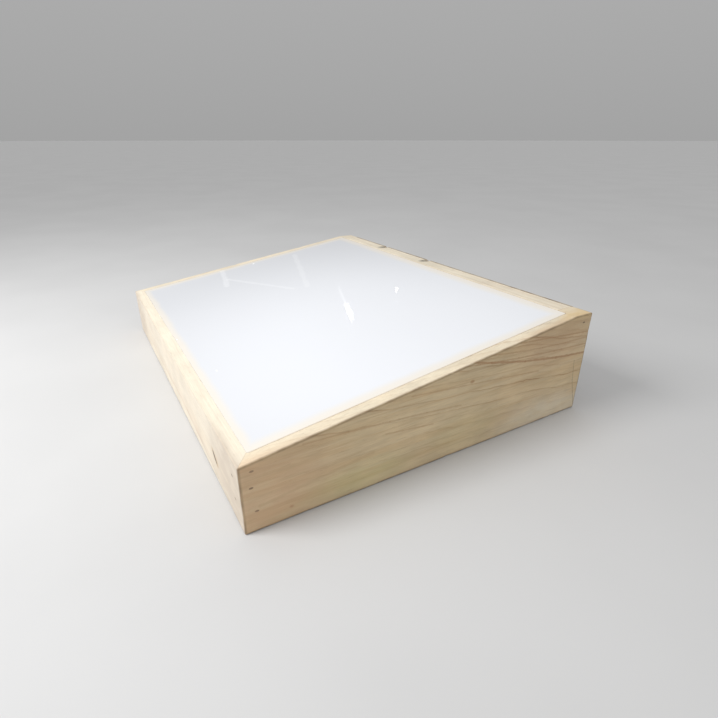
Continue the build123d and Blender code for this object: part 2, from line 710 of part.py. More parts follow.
def blade_space(gap):
    """The three blades of the inlet: pins in the socket, flat tabs behind."""
    with BuildPart() as blades:
        for x, z in BLADE_PLACES.values():
            place = (INLET_X + x, ELECTRICS_Z + z)
            with BuildSketch(OUTSIDE):
                with Locations(place):
                    Rectangle(BLADE[0] + gap, BLADE[1] + gap)
            extrude(amount=INLET_DEPTH - INLET_FLOOR)
            with BuildSketch(OUTSIDE.offset(INLET_DEPTH - INLET_FLOOR)):
                with Locations(place):
                    Rectangle(TAB_T + gap, INLET_TAB_W + gap)
            extrude(amount=INLET_FLOOR + INLET_TAB_L)
    return blades.part


with BuildPart() as inlet_housing:
    with BuildSketch(OUTSIDE):
        with Locations((INLET_X, ELECTRICS_Z)):
            RectangleRounded(*INLET_FLANGE, INLET_CORNER_R)
    extrude(amount=-FLANGE_T)
    rim = inlet_housing.faces().sort_by(Axis.Y)[-1]
    chamfer(rim.edges(), FLANGE_CHAMFER)
    with BuildSketch(OUTSIDE):
        with Locations((INLET_X, ELECTRICS_Z)):
            Rectangle(*INLET_BODY)
    extrude(amount=INLET_DEPTH)
    with BuildSketch(OUTSIDE.offset(-FLANGE_T)):
        with Locations((INLET_X, ELECTRICS_Z)):
            with BuildSketch(mode=Mode.PRIVATE) as mouth:
                Rectangle(*SOCKET)
                chamfer(mouth.vertices().group_by(Axis.Y)[-1], SOCKET_CORNER)
            add(mouth.sketch)
    extrude(amount=SOCKET_DEPTH, mode=Mode.SUBTRACT)
    with Locations(*MACHINE_SCREW_PLANES):
        add(MACHINE_HOLE, mode=Mode.SUBTRACT)
    add(blade_space(2 * HOLE_GAP), mode=Mode.SUBTRACT)
save(inlet_housing.part, "inlet_housing")
save(blade_space(0.0), "inlet_blades")

with BuildPart() as inlet_screws:
    with Locations(*MACHINE_SCREW_PLANES):
        add(flat_screw(MACHINE_SCREW_LENGTH, point=MACHINE_POINT))
save(inlet_screws.part, "inlet_screws")

with BuildPart() as inlet_nuts:
    with BuildSketch(Plane.XZ.offset(-COVER_Y)):
        with Locations(*[(x, ELECTRICS_Z) for x in INLET_SCREW_X]):
            RegularPolygon(NUT_R, 6)
            Circle(SCREW_R + HOLE_GAP, mode=Mode.SUBTRACT)
    extrude(amount=NUT_T)
save(inlet_nuts.part, "inlet_nuts")


def switch_tab_space(gap):
    """The two flat terminals of the switch."""
    with BuildPart() as tabs:
        with BuildSketch(OUTSIDE.offset(SWITCH_DEPTH - SWITCH_FLOOR)):
            with Locations(*[(SWITCH_X, z) for z in SWITCH_TABS_Z]):
                Rectangle(TAB_T + gap, SWITCH_TAB_W + gap)
        extrude(amount=SWITCH_FLOOR + INLET_TAB_L)
    return tabs.part


with BuildPart() as switch_housing:
    with BuildSketch(OUTSIDE):
        with Locations((SWITCH_X, ELECTRICS_Z)):
            RectangleRounded(*BEZEL, BEZEL_CORNER_R)
    extrude(amount=-FLANGE_T)
    rim = switch_housing.faces().sort_by(Axis.Y)[-1]
    chamfer(rim.edges(), FLANGE_CHAMFER)
    with BuildSketch(OUTSIDE):
        with Locations((SWITCH_X, ELECTRICS_Z)):
            Rectangle(*SWITCH_BODY)
    extrude(amount=SWITCH_DEPTH)
    with BuildSketch(OUTSIDE.offset(-FLANGE_T)):
        with Locations((SWITCH_X, ELECTRICS_Z)):
            Rectangle(*SWITCH_WELL)
    extrude(amount=SWITCH_WELL_DEPTH, mode=Mode.SUBTRACT)
    with Locations((SWITCH_X, PIVOT_Y, ELECTRICS_Z)):
        Cylinder(
            PIVOT_R + HOLE_GAP, PIVOT_L + 2 * PIVOT_END_GAP, rotation=(0, 90, 0), mode=Mode.SUBTRACT
        )
    add(switch_tab_space(2 * HOLE_GAP), mode=Mode.SUBTRACT)
save(switch_housing.part, "switch_housing")
save(switch_tab_space(0.0), "switch_tabs")

# The rocker is drawn level about its pivot, then tipped to "off", with its top end standing out.
ROCKER_HALF = 7.3
ROCKER_END = 4.4
ROCKER_MIDDLE = 3.5
ROCKER_SKIRT = 6.5
ROCKER_BELLY = -3.0
ROCKER_EASE = 0.5

with BuildPart() as switch_rocker:
    with BuildSketch(Plane(origin=(SWITCH_X, PIVOT_Y, ELECTRICS_Z), x_dir=(0, 1, 0), z_dir=(1, 0, 0))):
        with BuildLine():
            ThreePointArc(
                (ROCKER_END, ROCKER_HALF), (ROCKER_MIDDLE, 0), (ROCKER_END, -ROCKER_HALF)
            )
            Line((ROCKER_END, -ROCKER_HALF), (0, -ROCKER_SKIRT))
            ThreePointArc((0, -ROCKER_SKIRT), (ROCKER_BELLY, 0), (0, ROCKER_SKIRT))
            Line((0, ROCKER_SKIRT), (ROCKER_END, ROCKER_HALF))
        make_face()
    extrude(amount=ROCKER_W / 2, both=True)
    fillet(switch_rocker.edges().filter_by(Axis.X).group_by(Axis.Y)[-1], ROCKER_EASE)
    with Locations((SWITCH_X, PIVOT_Y, ELECTRICS_Z)):
        Cylinder(PIVOT_R, PIVOT_L, rotation=(0, 90, 0))
PIVOT_AXIS = Axis((SWITCH_X, PIVOT_Y, ELECTRICS_Z), (1, 0, 0))
save(switch_rocker.part.rotate(PIVOT_AXIS, -ROCKER_TILT), "switch_rocker")

# ---------------------------------------------------------------- push-on terminals and leads

SLEEVE_T = 4.0
SLEEVE_L = 13.0
SLEEVE_START = 1.5
SLEEVE_MARGIN = 0.8
SLEEVE_CORNER_R = 1.2
TAB_END_GAP = 0.5


def sleeve_ends():
    """Each tab's place, its height and the depth of the sleeve's free end."""
    ends = []
    for x, z in BLADE_PLACES.values():
        ends.append((INLET_X + x, ELECTRICS_Z + z, INLET_TAB_W, REAR_Y - INLET_DEPTH - SLEEVE_START))
    for z in SWITCH_TABS_Z:
        ends.append((SWITCH_X, z, SWITCH_TAB_W, REAR_Y - SWITCH_DEPTH - SLEEVE_START))
    return ends


with BuildPart() as push_on_terminals:
    for x, z, tab_w, y in sleeve_ends():
        with BuildSketch(Plane.XZ.offset(-y)):
            with Locations((x, z)):
                RectangleRounded(SLEEVE_T, tab_w + 2 * SLEEVE_MARGIN, SLEEVE_CORNER_R)
        extrude(amount=SLEEVE_L)
        with BuildSketch(Plane.XZ.offset(-y)):
            with Locations((x, z)):
                Rectangle(TAB_T + 2 * HOLE_GAP, tab_w + 2 * HOLE_GAP)
        extrude(amount=INLET_TAB_L - SLEEVE_START + TAB_END_GAP, mode=Mode.SUBTRACT)
save(push_on_terminals.part, "push_on_terminals")

LIVE, NEUTRAL, EARTH, SWITCHED_IN, SWITCHED_OUT = [
    (x, y - SLEEVE_L, z) for x, z, _, y in sleeve_ends()
]
BALLAST_RIGHT = BALLAST_X + BALLAST_L / 2
BALLAST_LEFT = BALLAST_X - BALLAST_L / 2
LEAD_IN = 3.0
LEAD_CLEARANCE = 0.1
FLOOR_Z = BASE_T + LEAD_R + LEAD_CLEARANCE


def lead(points, bend_r):
    """A round lead along straight runs joined by tangent arcs."""
    with BuildPart() as wire:
        with BuildLine() as route:
            FilletPolyline(*points, radius=bend_r)
        start = Plane(origin=route.line @ 0, z_dir=route.line % 0)
        with BuildSketch(start):
            Circle(LEAD_R)
        sweep()
    return wire.part


# Each route leaves its sleeve square, then runs through points in the space above the base.
STRAIGHT = 7.0
LIVE_SAG = (98, 98, 36)
LIVE_TURN_Y = 102.0
SWITCHED_TURN_X = 62.0
NEUTRAL_TURN = (94, 112, MAINS_PORT_Z)
EARTH_SAG = [(126, 99, 45), (142, 88, 36), (EARTH_X, 76, 26)]
mains_1_y, mains_2_y = MAINS_PORTS_Y

x, y, z = LIVE
x_in, y_in, z_in = SWITCHED_IN
live_route = [
    (x, y, z), (x, y - STRAIGHT, z), LIVE_SAG, (x_in, LIVE_TURN_Y, z_in), (x_in, y_in, z_in)
]
x, y, z = SWITCHED_OUT
switched_route = [
    (x, y, z), (x, y - STRAIGHT, z), (SWITCHED_TURN_X, mains_1_y, MAINS_PORT_Z),
    (BALLAST_RIGHT - LEAD_IN, mains_1_y, MAINS_PORT_Z),
]
with BuildPart() as live_leads:
    add(lead(live_route, BEND_R))
    add(lead(switched_route, BEND_R))
save(live_leads.part, "live_leads")

x, y, z = NEUTRAL
neutral_route = [
    (x, y, z), (x, y - STRAIGHT, z), NEUTRAL_TURN, (BALLAST_RIGHT - LEAD_IN, mains_2_y, MAINS_PORT_Z),
]
save(lead(neutral_route, BEND_R), "neutral_lead")

# The earth lead ends in the barrel of a ring tag under the earth screw.
TAG_R = 4.0
TAG_NECK = 9.0
TAG_NECK_W = 3.2
TAG_BARREL = 5.0
BARREL_WALL = 0.6
barrel_r = LEAD_R + BARREL_WALL
barrel_z = TRAY_Z + barrel_r
with BuildPart() as earth_tag:
    with BuildSketch(Plane.XY.offset(TRAY_Z)):
        with Locations((EARTH_X, EARTH_Y)):
            Circle(TAG_R)
        with Locations((EARTH_X, EARTH_Y + TAG_NECK / 2)):
            Rectangle(TAG_NECK_W, TAG_NECK)
        with Locations((EARTH_X, EARTH_Y)):
            Circle(SCREW_R + HOLE_GAP, mode=Mode.SUBTRACT)
    extrude(amount=TAG_T)
    with BuildSketch(Plane.XZ.offset(-(EARTH_Y + TAG_NECK - TAG_BARREL))):
        with Locations((EARTH_X, barrel_z)):
            Circle(barrel_r)
    extrude(amount=-TAG_BARREL)
save(earth_tag.part, "earth_tag")

with BuildPart() as earth_screw:
    with Locations(EARTH_SCREW_PLANE):
        add(round_screw(TRAY_SCREW_LENGTH))
save(earth_screw.part, "earth_screw")

x, y, z = EARTH
tag_end_y = EARTH_Y + TAG_NECK
earth_route = [
    (x, y, z), (x, y - STRAIGHT, z), *EARTH_SAG,
    (EARTH_X, tag_end_y + LEAD_IN, barrel_z), (EARTH_X, tag_end_y, barrel_z),
]
save(lead(earth_route, BEND_R), "earth_lead")

# The lamp leads run side by side along the box's sides, on the base.
LANES_X = (INNER_X - 3.8, INNER_X - 7.4)
HOLDER_LEAD_Z = TRAY_Z + 10.0
HOLDER_LEAD_OUT = 10.0
LANE_TURN = 14.0
PORT_LEAD_OUT = 12.0
for lamp, y, side in HOLDER_PLACES:
    lane_x = side * LANES_X[lamp - 1]
    port_y = LAMP_PORTS_Y[2 - lamp]
    ballast_end = BALLAST_RIGHT if side > 0 else BALLAST_LEFT
    route = [
        (side * (HOLDER_X + HOLDER_T), y, HOLDER_LEAD_Z),
        (side * (HOLDER_X + HOLDER_T + HOLDER_LEAD_OUT), y, HOLDER_LEAD_Z),
        (lane_x, y + LANE_TURN, FLOOR_Z),
        (lane_x, port_y, FLOOR_Z),
        (ballast_end + side * PORT_LEAD_OUT, port_y, LAMP_PORT_Z),
        (ballast_end - side * LEAD_IN, port_y, LAMP_PORT_Z),
    ]
    end_name = "left" if side < 0 else "right"
    save(lead(route, BEND_R), f"lamp_lead_{lamp}_{end_name}")
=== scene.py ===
import json
import math

import bmesh
import bpy
from mathutils import Matrix, Vector, noise


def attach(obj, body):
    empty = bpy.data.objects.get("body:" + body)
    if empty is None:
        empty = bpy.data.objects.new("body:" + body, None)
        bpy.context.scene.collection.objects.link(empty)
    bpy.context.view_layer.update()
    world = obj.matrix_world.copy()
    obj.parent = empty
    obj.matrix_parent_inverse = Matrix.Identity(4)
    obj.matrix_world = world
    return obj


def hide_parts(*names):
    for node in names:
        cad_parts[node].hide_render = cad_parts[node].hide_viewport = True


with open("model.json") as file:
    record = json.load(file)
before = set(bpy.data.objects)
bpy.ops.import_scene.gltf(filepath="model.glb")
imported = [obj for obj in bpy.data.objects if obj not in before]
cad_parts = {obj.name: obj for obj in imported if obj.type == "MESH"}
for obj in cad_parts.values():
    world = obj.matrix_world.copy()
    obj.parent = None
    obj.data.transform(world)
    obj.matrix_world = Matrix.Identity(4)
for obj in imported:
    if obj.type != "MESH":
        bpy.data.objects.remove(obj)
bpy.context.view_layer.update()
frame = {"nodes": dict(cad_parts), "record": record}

NODES = frame["nodes"]

# ---------------------------------------------------------------- sizes, in metres

HALF_WIDTH = 0.2
FRONT_Y = -0.151
REAR_Y = 0.151
FRONT_HEIGHT = 0.0495
REAR_HEIGHT = 0.089
SIDE_T = 0.019
FRONT_T = 0.016
COVER_T = 0.003
LEDGE = 0.019
INNER_X = HALF_WIDTH - SIDE_T
FRONT_INNER_Y = FRONT_Y + FRONT_T
REAR_INNER_Y = REAR_Y - LEDGE
COVER_Y = REAR_Y - COVER_T
SLOPE = math.atan2(REAR_HEIGHT - FRONT_HEIGHT, REAR_INNER_Y - FRONT_Y)
SLOPE_LENGTH = (REAR_INNER_Y - FRONT_Y) / math.cos(SLOPE)
UP_SLOPE = Vector((0, math.cos(SLOPE), math.sin(SLOPE)))
SLOPE_NORMAL = Vector((0, -math.sin(SLOPE), math.cos(SLOPE)))
SLOPE_START = Vector((0, FRONT_Y, FRONT_HEIGHT))
SLOPE_FRAME = Matrix.Translation(SLOPE_START) @ Matrix.Rotation(SLOPE, 4, "X")

PANEL_T = 0.005
RIM_SIDE = 0.010
RIM_FRONT = 0.0095
PANEL_CORNER = 0.0015
BASE_T = 0.006
BASE_EDGE_X = INNER_X + 0.009
BASE_FRONT_Y = FRONT_INNER_Y - 0.007
BASE_REAR_Y = REAR_INNER_Y + 0.009
WINDOW_X = (0.048, 0.150)
WINDOW_Z = (0.024, 0.060)
NAILS = [
    (FRONT_Y + 0.0082, 0.0449), (FRONT_Y + 0.0069, 0.0333), (FRONT_Y + 0.0089, 0.0154),
    (REAR_Y - 0.0095, 0.0822), (REAR_Y - 0.0084, 0.0540), (REAR_Y - 0.0100, 0.0190),
]
OPEN_NAILS = NAILS[:4]
NICKS_X = (-0.1036, -0.0158)
NICK_RADIUS = 0.009
NICK_REACH = 0.022
NICK_DEPTH = 0.0013
NAIL_PIT_R = (0.00055, 0.00068)
NAIL_PIT_DEPTH = 0.004
NAIL_PIT_OUT = 0.0005
NAIL_PIT_STRETCH = (1, 1.5, 0.85, 1)

# Edges: the outer arrises' radius, and the inner edges' share of it.
EASE = 0.001
INNER_EASE = 0.15
EASED_ABOVE = math.radians(25)
SHARP_ABOVE = math.radians(40)

# How finely the boards are divided along and up, and how deep the wear goes.
STATION = 0.003
ROW = 0.008
ARRIS_WEAR = 0.00028
DENT_DEPTH = 0.0011
FACE_WEAR = 0.00009

# ---------------------------------------------------------------- mesh helpers

# The box's outer planes, as a point, an outward normal and the stretch of Y where each holds.
OUTSIDE = [
    (Vector((HALF_WIDTH, 0, 0)), Vector((1, 0, 0)), -1, 1),
    (Vector((-HALF_WIDTH, 0, 0)), Vector((-1, 0, 0)), -1, 1),
    (Vector((0, FRONT_Y, 0)), Vector((0, -1, 0)), -1, 1),
    (Vector((0, REAR_Y, 0)), Vector((0, 1, 0)), -1, 1),
    (Vector((0, 0, 0)), Vector((0, 0, -1)), -1, 1),
    (Vector((0, 0, REAR_HEIGHT)), Vector((0, 0, 1)), REAR_INNER_Y, 1),
    (SLOPE_START, SLOPE_NORMAL, -1, REAR_INNER_Y),
]
TOUCHING = 1e-5


def near_planes(point, reach):
    """The outward normals of the outer planes that a point lies within reach of."""
    return [
        normal for origin, normal, low, high in OUTSIDE
        if abs((point - origin).dot(normal)) < reach and low - TOUCHING < point.y < high + TOUCHING
    ]


def to_object(bm, name):
    """Make a scene object of a bmesh."""
    bmesh.ops.recalc_face_normals(bm, faces=bm.faces)
    mesh = bpy.data.meshes.new(name)
    bm.to_mesh(mesh)
    bm.free()
    obj = bpy.data.objects.new(name, mesh)
    bpy.context.scene.collection.objects.link(obj)
    return obj


def prism(name, outline, x_low, x_high):
    """A solid with this outline in Y and Z, between two places along X."""
    bm = bmesh.new()
    left, right = [[bm.verts.new((x, y, z)) for y, z in outline] for x in (x_low, x_high)]
    bm.faces.new(left)
    bm.faces.new(right)
    for i in range(len(outline)):
        bm.faces.new((left[i - 1], left[i], right[i], right[i - 1]))
    return to_object(bm, name)


def block(low, high, place=Matrix.Identity(4), upright_r=0.0):
    """A bmesh box between two corners, with its four upright edges rounded, moved by place."""
    bm = bmesh.new()
    bmesh.ops.create_cube(bm, size=1)
    for vertex in bm.verts:
        vertex.co = Vector(h if c > 0 else l for c, l, h in zip(vertex.co, low, high))
    if upright_r:
        upright = [e for e in bm.edges if abs((e.verts[0].co - e.verts[1].co).z) > TOUCHING]
        bmesh.ops.bevel(bm, geom=upright, offset=upright_r, segments=5, profile=0.5, affect="EDGES")
    bm.transform(place)
    return bm


def panel_space():
    """The stopped rabbet that takes the diffuser."""
    low = (RIM_SIDE - HALF_WIDTH, RIM_FRONT, -PANEL_T)
    high = (HALF_WIDTH - RIM_SIDE, SLOPE_LENGTH - PANEL_T * math.tan(SLOPE), PANEL_T)
    return to_object(block(low, high, SLOPE_FRAME, PANEL_CORNER), "panel_space")


def base_space():
    """The rebate that takes the base."""
    low = (-BASE_EDGE_X, BASE_FRONT_Y, -BASE_T)
    high = (BASE_EDGE_X, BASE_REAR_Y, BASE_T)
    return to_object(block(low, high), "base_space")


def beyond_mitre(side, wants_front):
    """The space on one side of a front corner's mitre: in front of it, or outside it."""
    inner = (INNER_X, FRONT_INNER_Y)
    past_corner = (HALF_WIDTH + SIDE_T, FRONT_Y - FRONT_T)
    third = (inner[0], past_corner[1]) if wants_front else (past_corner[0], inner[1])
    bm = bmesh.new()
    low, high = [
        [bm.verts.new((side * x, y, z)) for x, y in (inner, past_corner, third)]
        for z in (-EASE, REAR_HEIGHT)
    ]
    bm.faces.new(low)
    bm.faces.new(high)
    for i in range(3):
        bm.faces.new((low[i - 1], low[i], high[i], high[i - 1]))
    return to_object(bm, "beyond_mitre")


def nail_pit(side, y, z):
    """The small oval hole over a sunk nail head."""
    bm = bmesh.new()
    inner_r, outer_r = NAIL_PIT_R
    bmesh.ops.create_cone(
        bm, segments=20, radius1=inner_r, radius2=outer_r, depth=NAIL_PIT_DEPTH, cap_ends=True
    )
    turn = Matrix.Rotation(side * math.pi / 2, 4, "Y")
    place = Matrix.Translation((side * (HALF_WIDTH + NAIL_PIT_OUT), y, z))
    bm.transform(place @ Matrix.Diagonal(NAIL_PIT_STRETCH) @ turn)
    return to_object(bm, "nail_pit")


def nick(x):
    """A long shallow scoop in the rear board's top."""
    bm = bmesh.new()
    bmesh.ops.create_uvsphere(bm, u_segments=48, v_segments=32, radius=1)
    centre = Matrix.Translation((x, REAR_Y, REAR_HEIGHT - NICK_DEPTH + NICK_RADIUS))
    bm.transform(centre @ Matrix.Diagonal((NICK_RADIUS, NICK_REACH, NICK_RADIUS, 1)))
    return to_object(bm, "nick")


def apply_modifiers(obj):
    """Turn an object's modifiers into its mesh."""
    graph = bpy.context.evaluated_depsgraph_get()
    mesh = bpy.data.meshes.new_from_object(obj.evaluated_get(graph))
    obj.modifiers.clear()
    obj.data = mesh


def cut(obj, cutters):
    """Take each cutter out of an object."""
    for cutter in cutters:
        modifier = obj.modifiers.new("cut", "BOOLEAN")
        modifier.operation = "DIFFERENCE"
        modifier.solver = "EXACT"
        modifier.object = cutter
    apply_modifiers(obj)
    for cutter in cutters:
        bpy.data.objects.remove(cutter)


def ease(obj):
    """Round a board's convex edges: the box's outer arrises fully, the others a little."""
    bm = bmesh.new()
    bm.from_mesh(obj.data)
    weight = bm.edges.layers.float.new("bevel_weight_edge")
    for edge in bm.edges:
        if not edge.is_convex or edge.calc_face_angle(0) < EASED_ABOVE:
            continue
        first, second = [near_planes(v.co, TOUCHING) for v in edge.verts]
        edge[weight] = 1 if sum(normal in second for normal in first) > 1 else INNER_EASE
    bm.to_mesh(obj.data)
    bm.free()
    modifier = obj.modifiers.new("ease", "BEVEL")
    modifier.limit_method = "WEIGHT"
    modifier.width = EASE
    modifier.segments = 3
    apply_modifiers(obj)


def slice_mesh(obj, cuts):
    """Divide a mesh by planes: cuts are (axis vector, first, last, step)."""
    bm = bmesh.new()
    bm.from_mesh(obj.data)
    for normal, first, last, step in cuts:
        count = round((last - first) / step)
        for i in range(1, count):
            everything = bm.verts[:] + bm.edges[:] + bm.faces[:]
            place = normal * (first + (last - first) * i / count)
            bmesh.ops.bisect_plane(bm, geom=everything, plane_co=place, plane_no=normal, dist=1e-6)
    bm.to_mesh(obj.data)
    bm.free()


def worn(point):
    """How far hand sanding and knocks move a point of the box's outside, always inwards."""
    normals = near_planes(point, 1.2 * EASE)
    if len(normals) > 1:
        inward = -sum(normals, Vector()).normalized()
        softness = 0.5 + 0.5 * noise.noise(point * 28)
        dents = max(0.0, noise.noise(point * 95 + Vector((3, 7, 1))) - 0.28)
        return inward * (ARRIS_WEAR * softness + DENT_DEPTH * dents)
    normals = near_planes(point, TOUCHING)
    if normals and normals[0].z > -1:
        return -normals[0] * FACE_WEAR * (1 + noise.noise(point * 24))
    return Vector()


def finish_mesh(obj):
    """Smooth the shading over small eased edges but not over real corners."""
    obj.data.shade_smooth()
    obj.data.set_sharp_from_angle(angle=SHARP_ABOVE)
    modifier = obj.modifiers.new("normals", "WEIGHTED_NORMAL")
    modifier.keep_sharp = True
    apply_modifiers(obj)


def board(name, outline, x_low, x_high, spaces, details, along):
    """One board of the frame: cut, eased, drilled, divided and worn."""
    obj = prism(name, outline, x_low, x_high)
    cut(obj, spaces)
    ease(obj)
    cut(obj, details)
    lengths = {"x": (Vector((1, 0, 0)), x_low, x_high), "y": (Vector((0, 1, 0)), FRONT_Y, REAR_Y)}
    slice_mesh(obj, [(*lengths[along], STATION), (Vector((0, 0, 1)), 0, REAR_HEIGHT, ROW)])
    for vertex in obj.data.vertices:
        vertex.co += worn(vertex.co)
    finish_mesh(obj)
    return obj


# ---------------------------------------------------------------- material helpers


class Graph:
    """A short way to write the nodes of one material."""

    def __init__(self, name):
        self.material = bpy.data.materials.new(name)
        self.material.use_nodes = True
        self.tree = self.material.node_tree
        self.tree.nodes.clear()
        self.shader = self.tree.nodes.new("ShaderNodeBsdfPrincipled")
        output = self.tree.nodes.new("ShaderNodeOutputMaterial")
        self.tree.links.new(self.shader.outputs["BSDF"], output.inputs["Surface"])
        coordinates = self.tree.nodes.new("ShaderNodeTexCoord")
        self.place = coordinates.outputs["Object"]
        self.normal = coordinates.outputs["Normal"]

    def feed(self, socket, value):
        """Link a value that is itself an output, or set it."""
        if isinstance(value, bpy.types.NodeSocket):
            self.tree.links.new(value, socket)
        else:
            socket.default_value = value

    def math(self, operation, *values, clamp=False):
        node = self.tree.nodes.new("ShaderNodeMath")
        node.operation = operation
        node.use_clamp = clamp
        for socket, value in zip(node.inputs, values):
            self.feed(socket, value)
        return node.outputs[0]

    def add(self, *values):
        total = values[0]
        for value in values[1:]:
            total = self.math("ADD", total, value)
        return total

    def times(self, *values):
        total = values[0]
        for value in values[1:]:
            total = self.math("MULTIPLY", total, value)
        return total

    def vector(self, operation, *values):
        node = self.tree.nodes.new("ShaderNodeVectorMath")
        node.operation = operation
        for socket, value in zip(node.inputs, values):
            self.feed(socket, value)
        return node.outputs["Value" if operation in ("LENGTH", "DOT_PRODUCT") else "Vector"]

    def split(self, vector):
        node = self.tree.nodes.new("ShaderNodeSeparateXYZ")
        self.feed(node.inputs[0], vector)
        return node.outputs[:]

    def join(self, x, y, z):
        node = self.tree.nodes.new("ShaderNodeCombineXYZ")
        for socket, value in zip(node.inputs, (x, y, z)):
            self.feed(socket, value)
        return node.outputs[0]

    def noise(self, place, scale, detail=2.0, rough=0.5, seed=0.0):
        """Noise from 0 to 1; scale may differ along each axis."""
        if isinstance(scale, (int, float)):
            scale = (scale,) * 3
        moved = self.vector("MULTIPLY_ADD", place, scale, (seed * 1.7, seed * 3.1, seed * 2.3))
        node = self.tree.nodes.new("ShaderNodeTexNoise")
        self.feed(node.inputs["Vector"], moved)
        node.inputs["Scale"].default_value = 1
        node.inputs["Detail"].default_value = detail
        node.inputs["Roughness"].default_value = rough
        return node.outputs["Fac"]

    def random(self, value):
        node = self.tree.nodes.new("ShaderNodeTexWhiteNoise")
        node.noise_dimensions = "1D"
        self.feed(node.inputs["W"], value)
        return node.outputs["Value"]

    def fit(self, value, low, high, to_low=0.0, to_high=1.0, smooth=True):
        """Map a range to another, clamped."""
        node = self.tree.nodes.new("ShaderNodeMapRange")
        node.interpolation_type = "SMOOTHSTEP" if smooth else "LINEAR"
        for socket, number in zip(node.inputs, (value, low, high, to_low, to_high)):
            self.feed(socket, number)
        return node.outputs[0]

    def curve(self, value, stops):
        """A piecewise grey ramp through (position, value) stops."""
        node = self.tree.nodes.new("ShaderNodeValToRGB")
        elements = node.color_ramp.elements
        for position, _ in stops[2:]:
            elements.new(position)
        for element, (position, level) in zip(elements, stops):
            element.position = position
            element.color = (level, level, level, 1)
        self.feed(node.inputs[0], value)
        return node.outputs[0]

    def mix(self, factor, first, second, blend="MIX"):
        node = self.tree.nodes.new("ShaderNodeMix")
        node.data_type = "RGBA"
        node.blend_type = blend
        colours = [s for s in node.inputs if s.type == "RGBA"]
        self.feed(node.inputs[0], factor)
        for socket, colour in zip(colours, (first, second)):
            self.feed(socket, (*colour, 1) if isinstance(colour, tuple) else colour)
        return next(s for s in node.outputs if s.type == "RGBA")

    def spot(self, centre, radii):
        """1 at a point, falling to 0 at an ellipsoid round it."""
        away = self.vector("SUBTRACT", self.place, centre)
        share = self.vector("LENGTH", self.vector("DIVIDE", away, radii))
        return self.fit(share, 1, 0.25)

    def stroke(self, start, end, width):
        """1 along a line between two points, falling to 0 at half the width."""
        run = Vector(end) - Vector(start)
        wobble = self.noise(self.place, 0.6 / width, 2, seed=9)
        away = self.vector("SUBTRACT", self.place, tuple(start))
        reached = self.vector("DOT_PRODUCT", away, tuple(run))
        share = self.math("DIVIDE", reached, run.length_squared, clamp=True)
        nearest = self.vector("SCALE", tuple(run))
        self.feed(nearest.node.inputs["Scale"], share)
        gap = self.vector("LENGTH", self.vector("SUBTRACT", away, nearest))
        gap = self.add(gap, self.times(self.math("SUBTRACT", wobble, 0.5), width * 0.6))
        return self.fit(gap, width / 2, width / 6)

    def bump(self, height, distance, strength):
        node = self.tree.nodes.new("ShaderNodeBump")
        node.inputs["Strength"].default_value = strength
        node.inputs["Distance"].default_value = distance
        self.feed(node.inputs["Height"], height)
        self.feed(self.shader.inputs["Normal"], node.outputs["Normal"])

    def set(self, **values):
        """Set or link inputs of the shader; _ stands for a space."""
        for name, value in values.items():
            if isinstance(value, tuple) and len(value) == 3:
                value = (*value, 1)
            self.feed(self.shader.inputs[name.replace("_", " ")], value)


# ---------------------------------------------------------------- wood

PALE = (0.83, 0.715, 0.51)
WARM = (0.76, 0.60, 0.38)
LATE = (0.45, 0.255, 0.125)
# Pale tone: painted light on the tops, and a pale patch on the right side.
SANDED_AND_LIT = (0.90, 0.83, 0.69)
REDDISH = (0.66, 0.43, 0.26)
GREENISH = (0.60, 0.57, 0.27)
# Near-black brown: stain round the nails, and painted shade in the nicks.
STAIN_AND_SHADE = (0.032, 0.019, 0.011)
# Dark brown: grime and painted shade at the arrises, and dark seams, specks and a crack.
GRIME_AND_SHADE = (0.26, 0.18, 0.105)
FRONT_SHADE = (0.62, 0.53, 0.43)
GOLDEN = (0.72, 0.52, 0.25)
KNOT = (0.085, 0.042, 0.024)
RED_SPECK = (0.42, 0.18, 0.10)
WARM_DARK = (0.52, 0.36, 0.20)
END_GRAIN = (0.60, 0.44, 0.255)
GRIME_AND_SHADE_REACH = 0.0021


def arris_share(g, reach):
    """Near 1 along the box's outer arrises, where finish and dirt gather and painted shade is laid."""
    x, y, z = g.split(g.place)
    beside = g.math("SUBTRACT", HALF_WIDTH, g.math("ABSOLUTE", x))
    before = g.math("SUBTRACT", y, FRONT_Y)
    behind = g.math("SUBTRACT", REAR_Y, y)
    away = g.vector("SUBTRACT", tuple(SLOPE_START), g.place)
    above = g.math("ABSOLUTE", g.vector("DOT_PRODUCT", away, tuple(SLOPE_NORMAL)))
    top = g.math("ABSOLUTE", g.math("SUBTRACT", REAR_HEIGHT, z))
    close = [g.fit(value, reach, reach * 0.2) for value in (beside, before, behind, z, above, top)]
    side_near, front_near, rear_near, bottom_near, slope_near, top_near = close
    ends = g.math("MAXIMUM", front_near, rear_near)
    tops = g.math("MAXIMUM", slope_near, top_near)
    pairs = [g.times(side_near, ends), g.times(side_near, bottom_near), g.times(ends, bottom_near)]
    upper = g.math("MAXIMUM", g.times(side_near, tops), g.times(ends, tops))
    lower = g.math("MAXIMUM", g.math("MAXIMUM", *pairs[:2]), pairs[2])
    return lower, upper


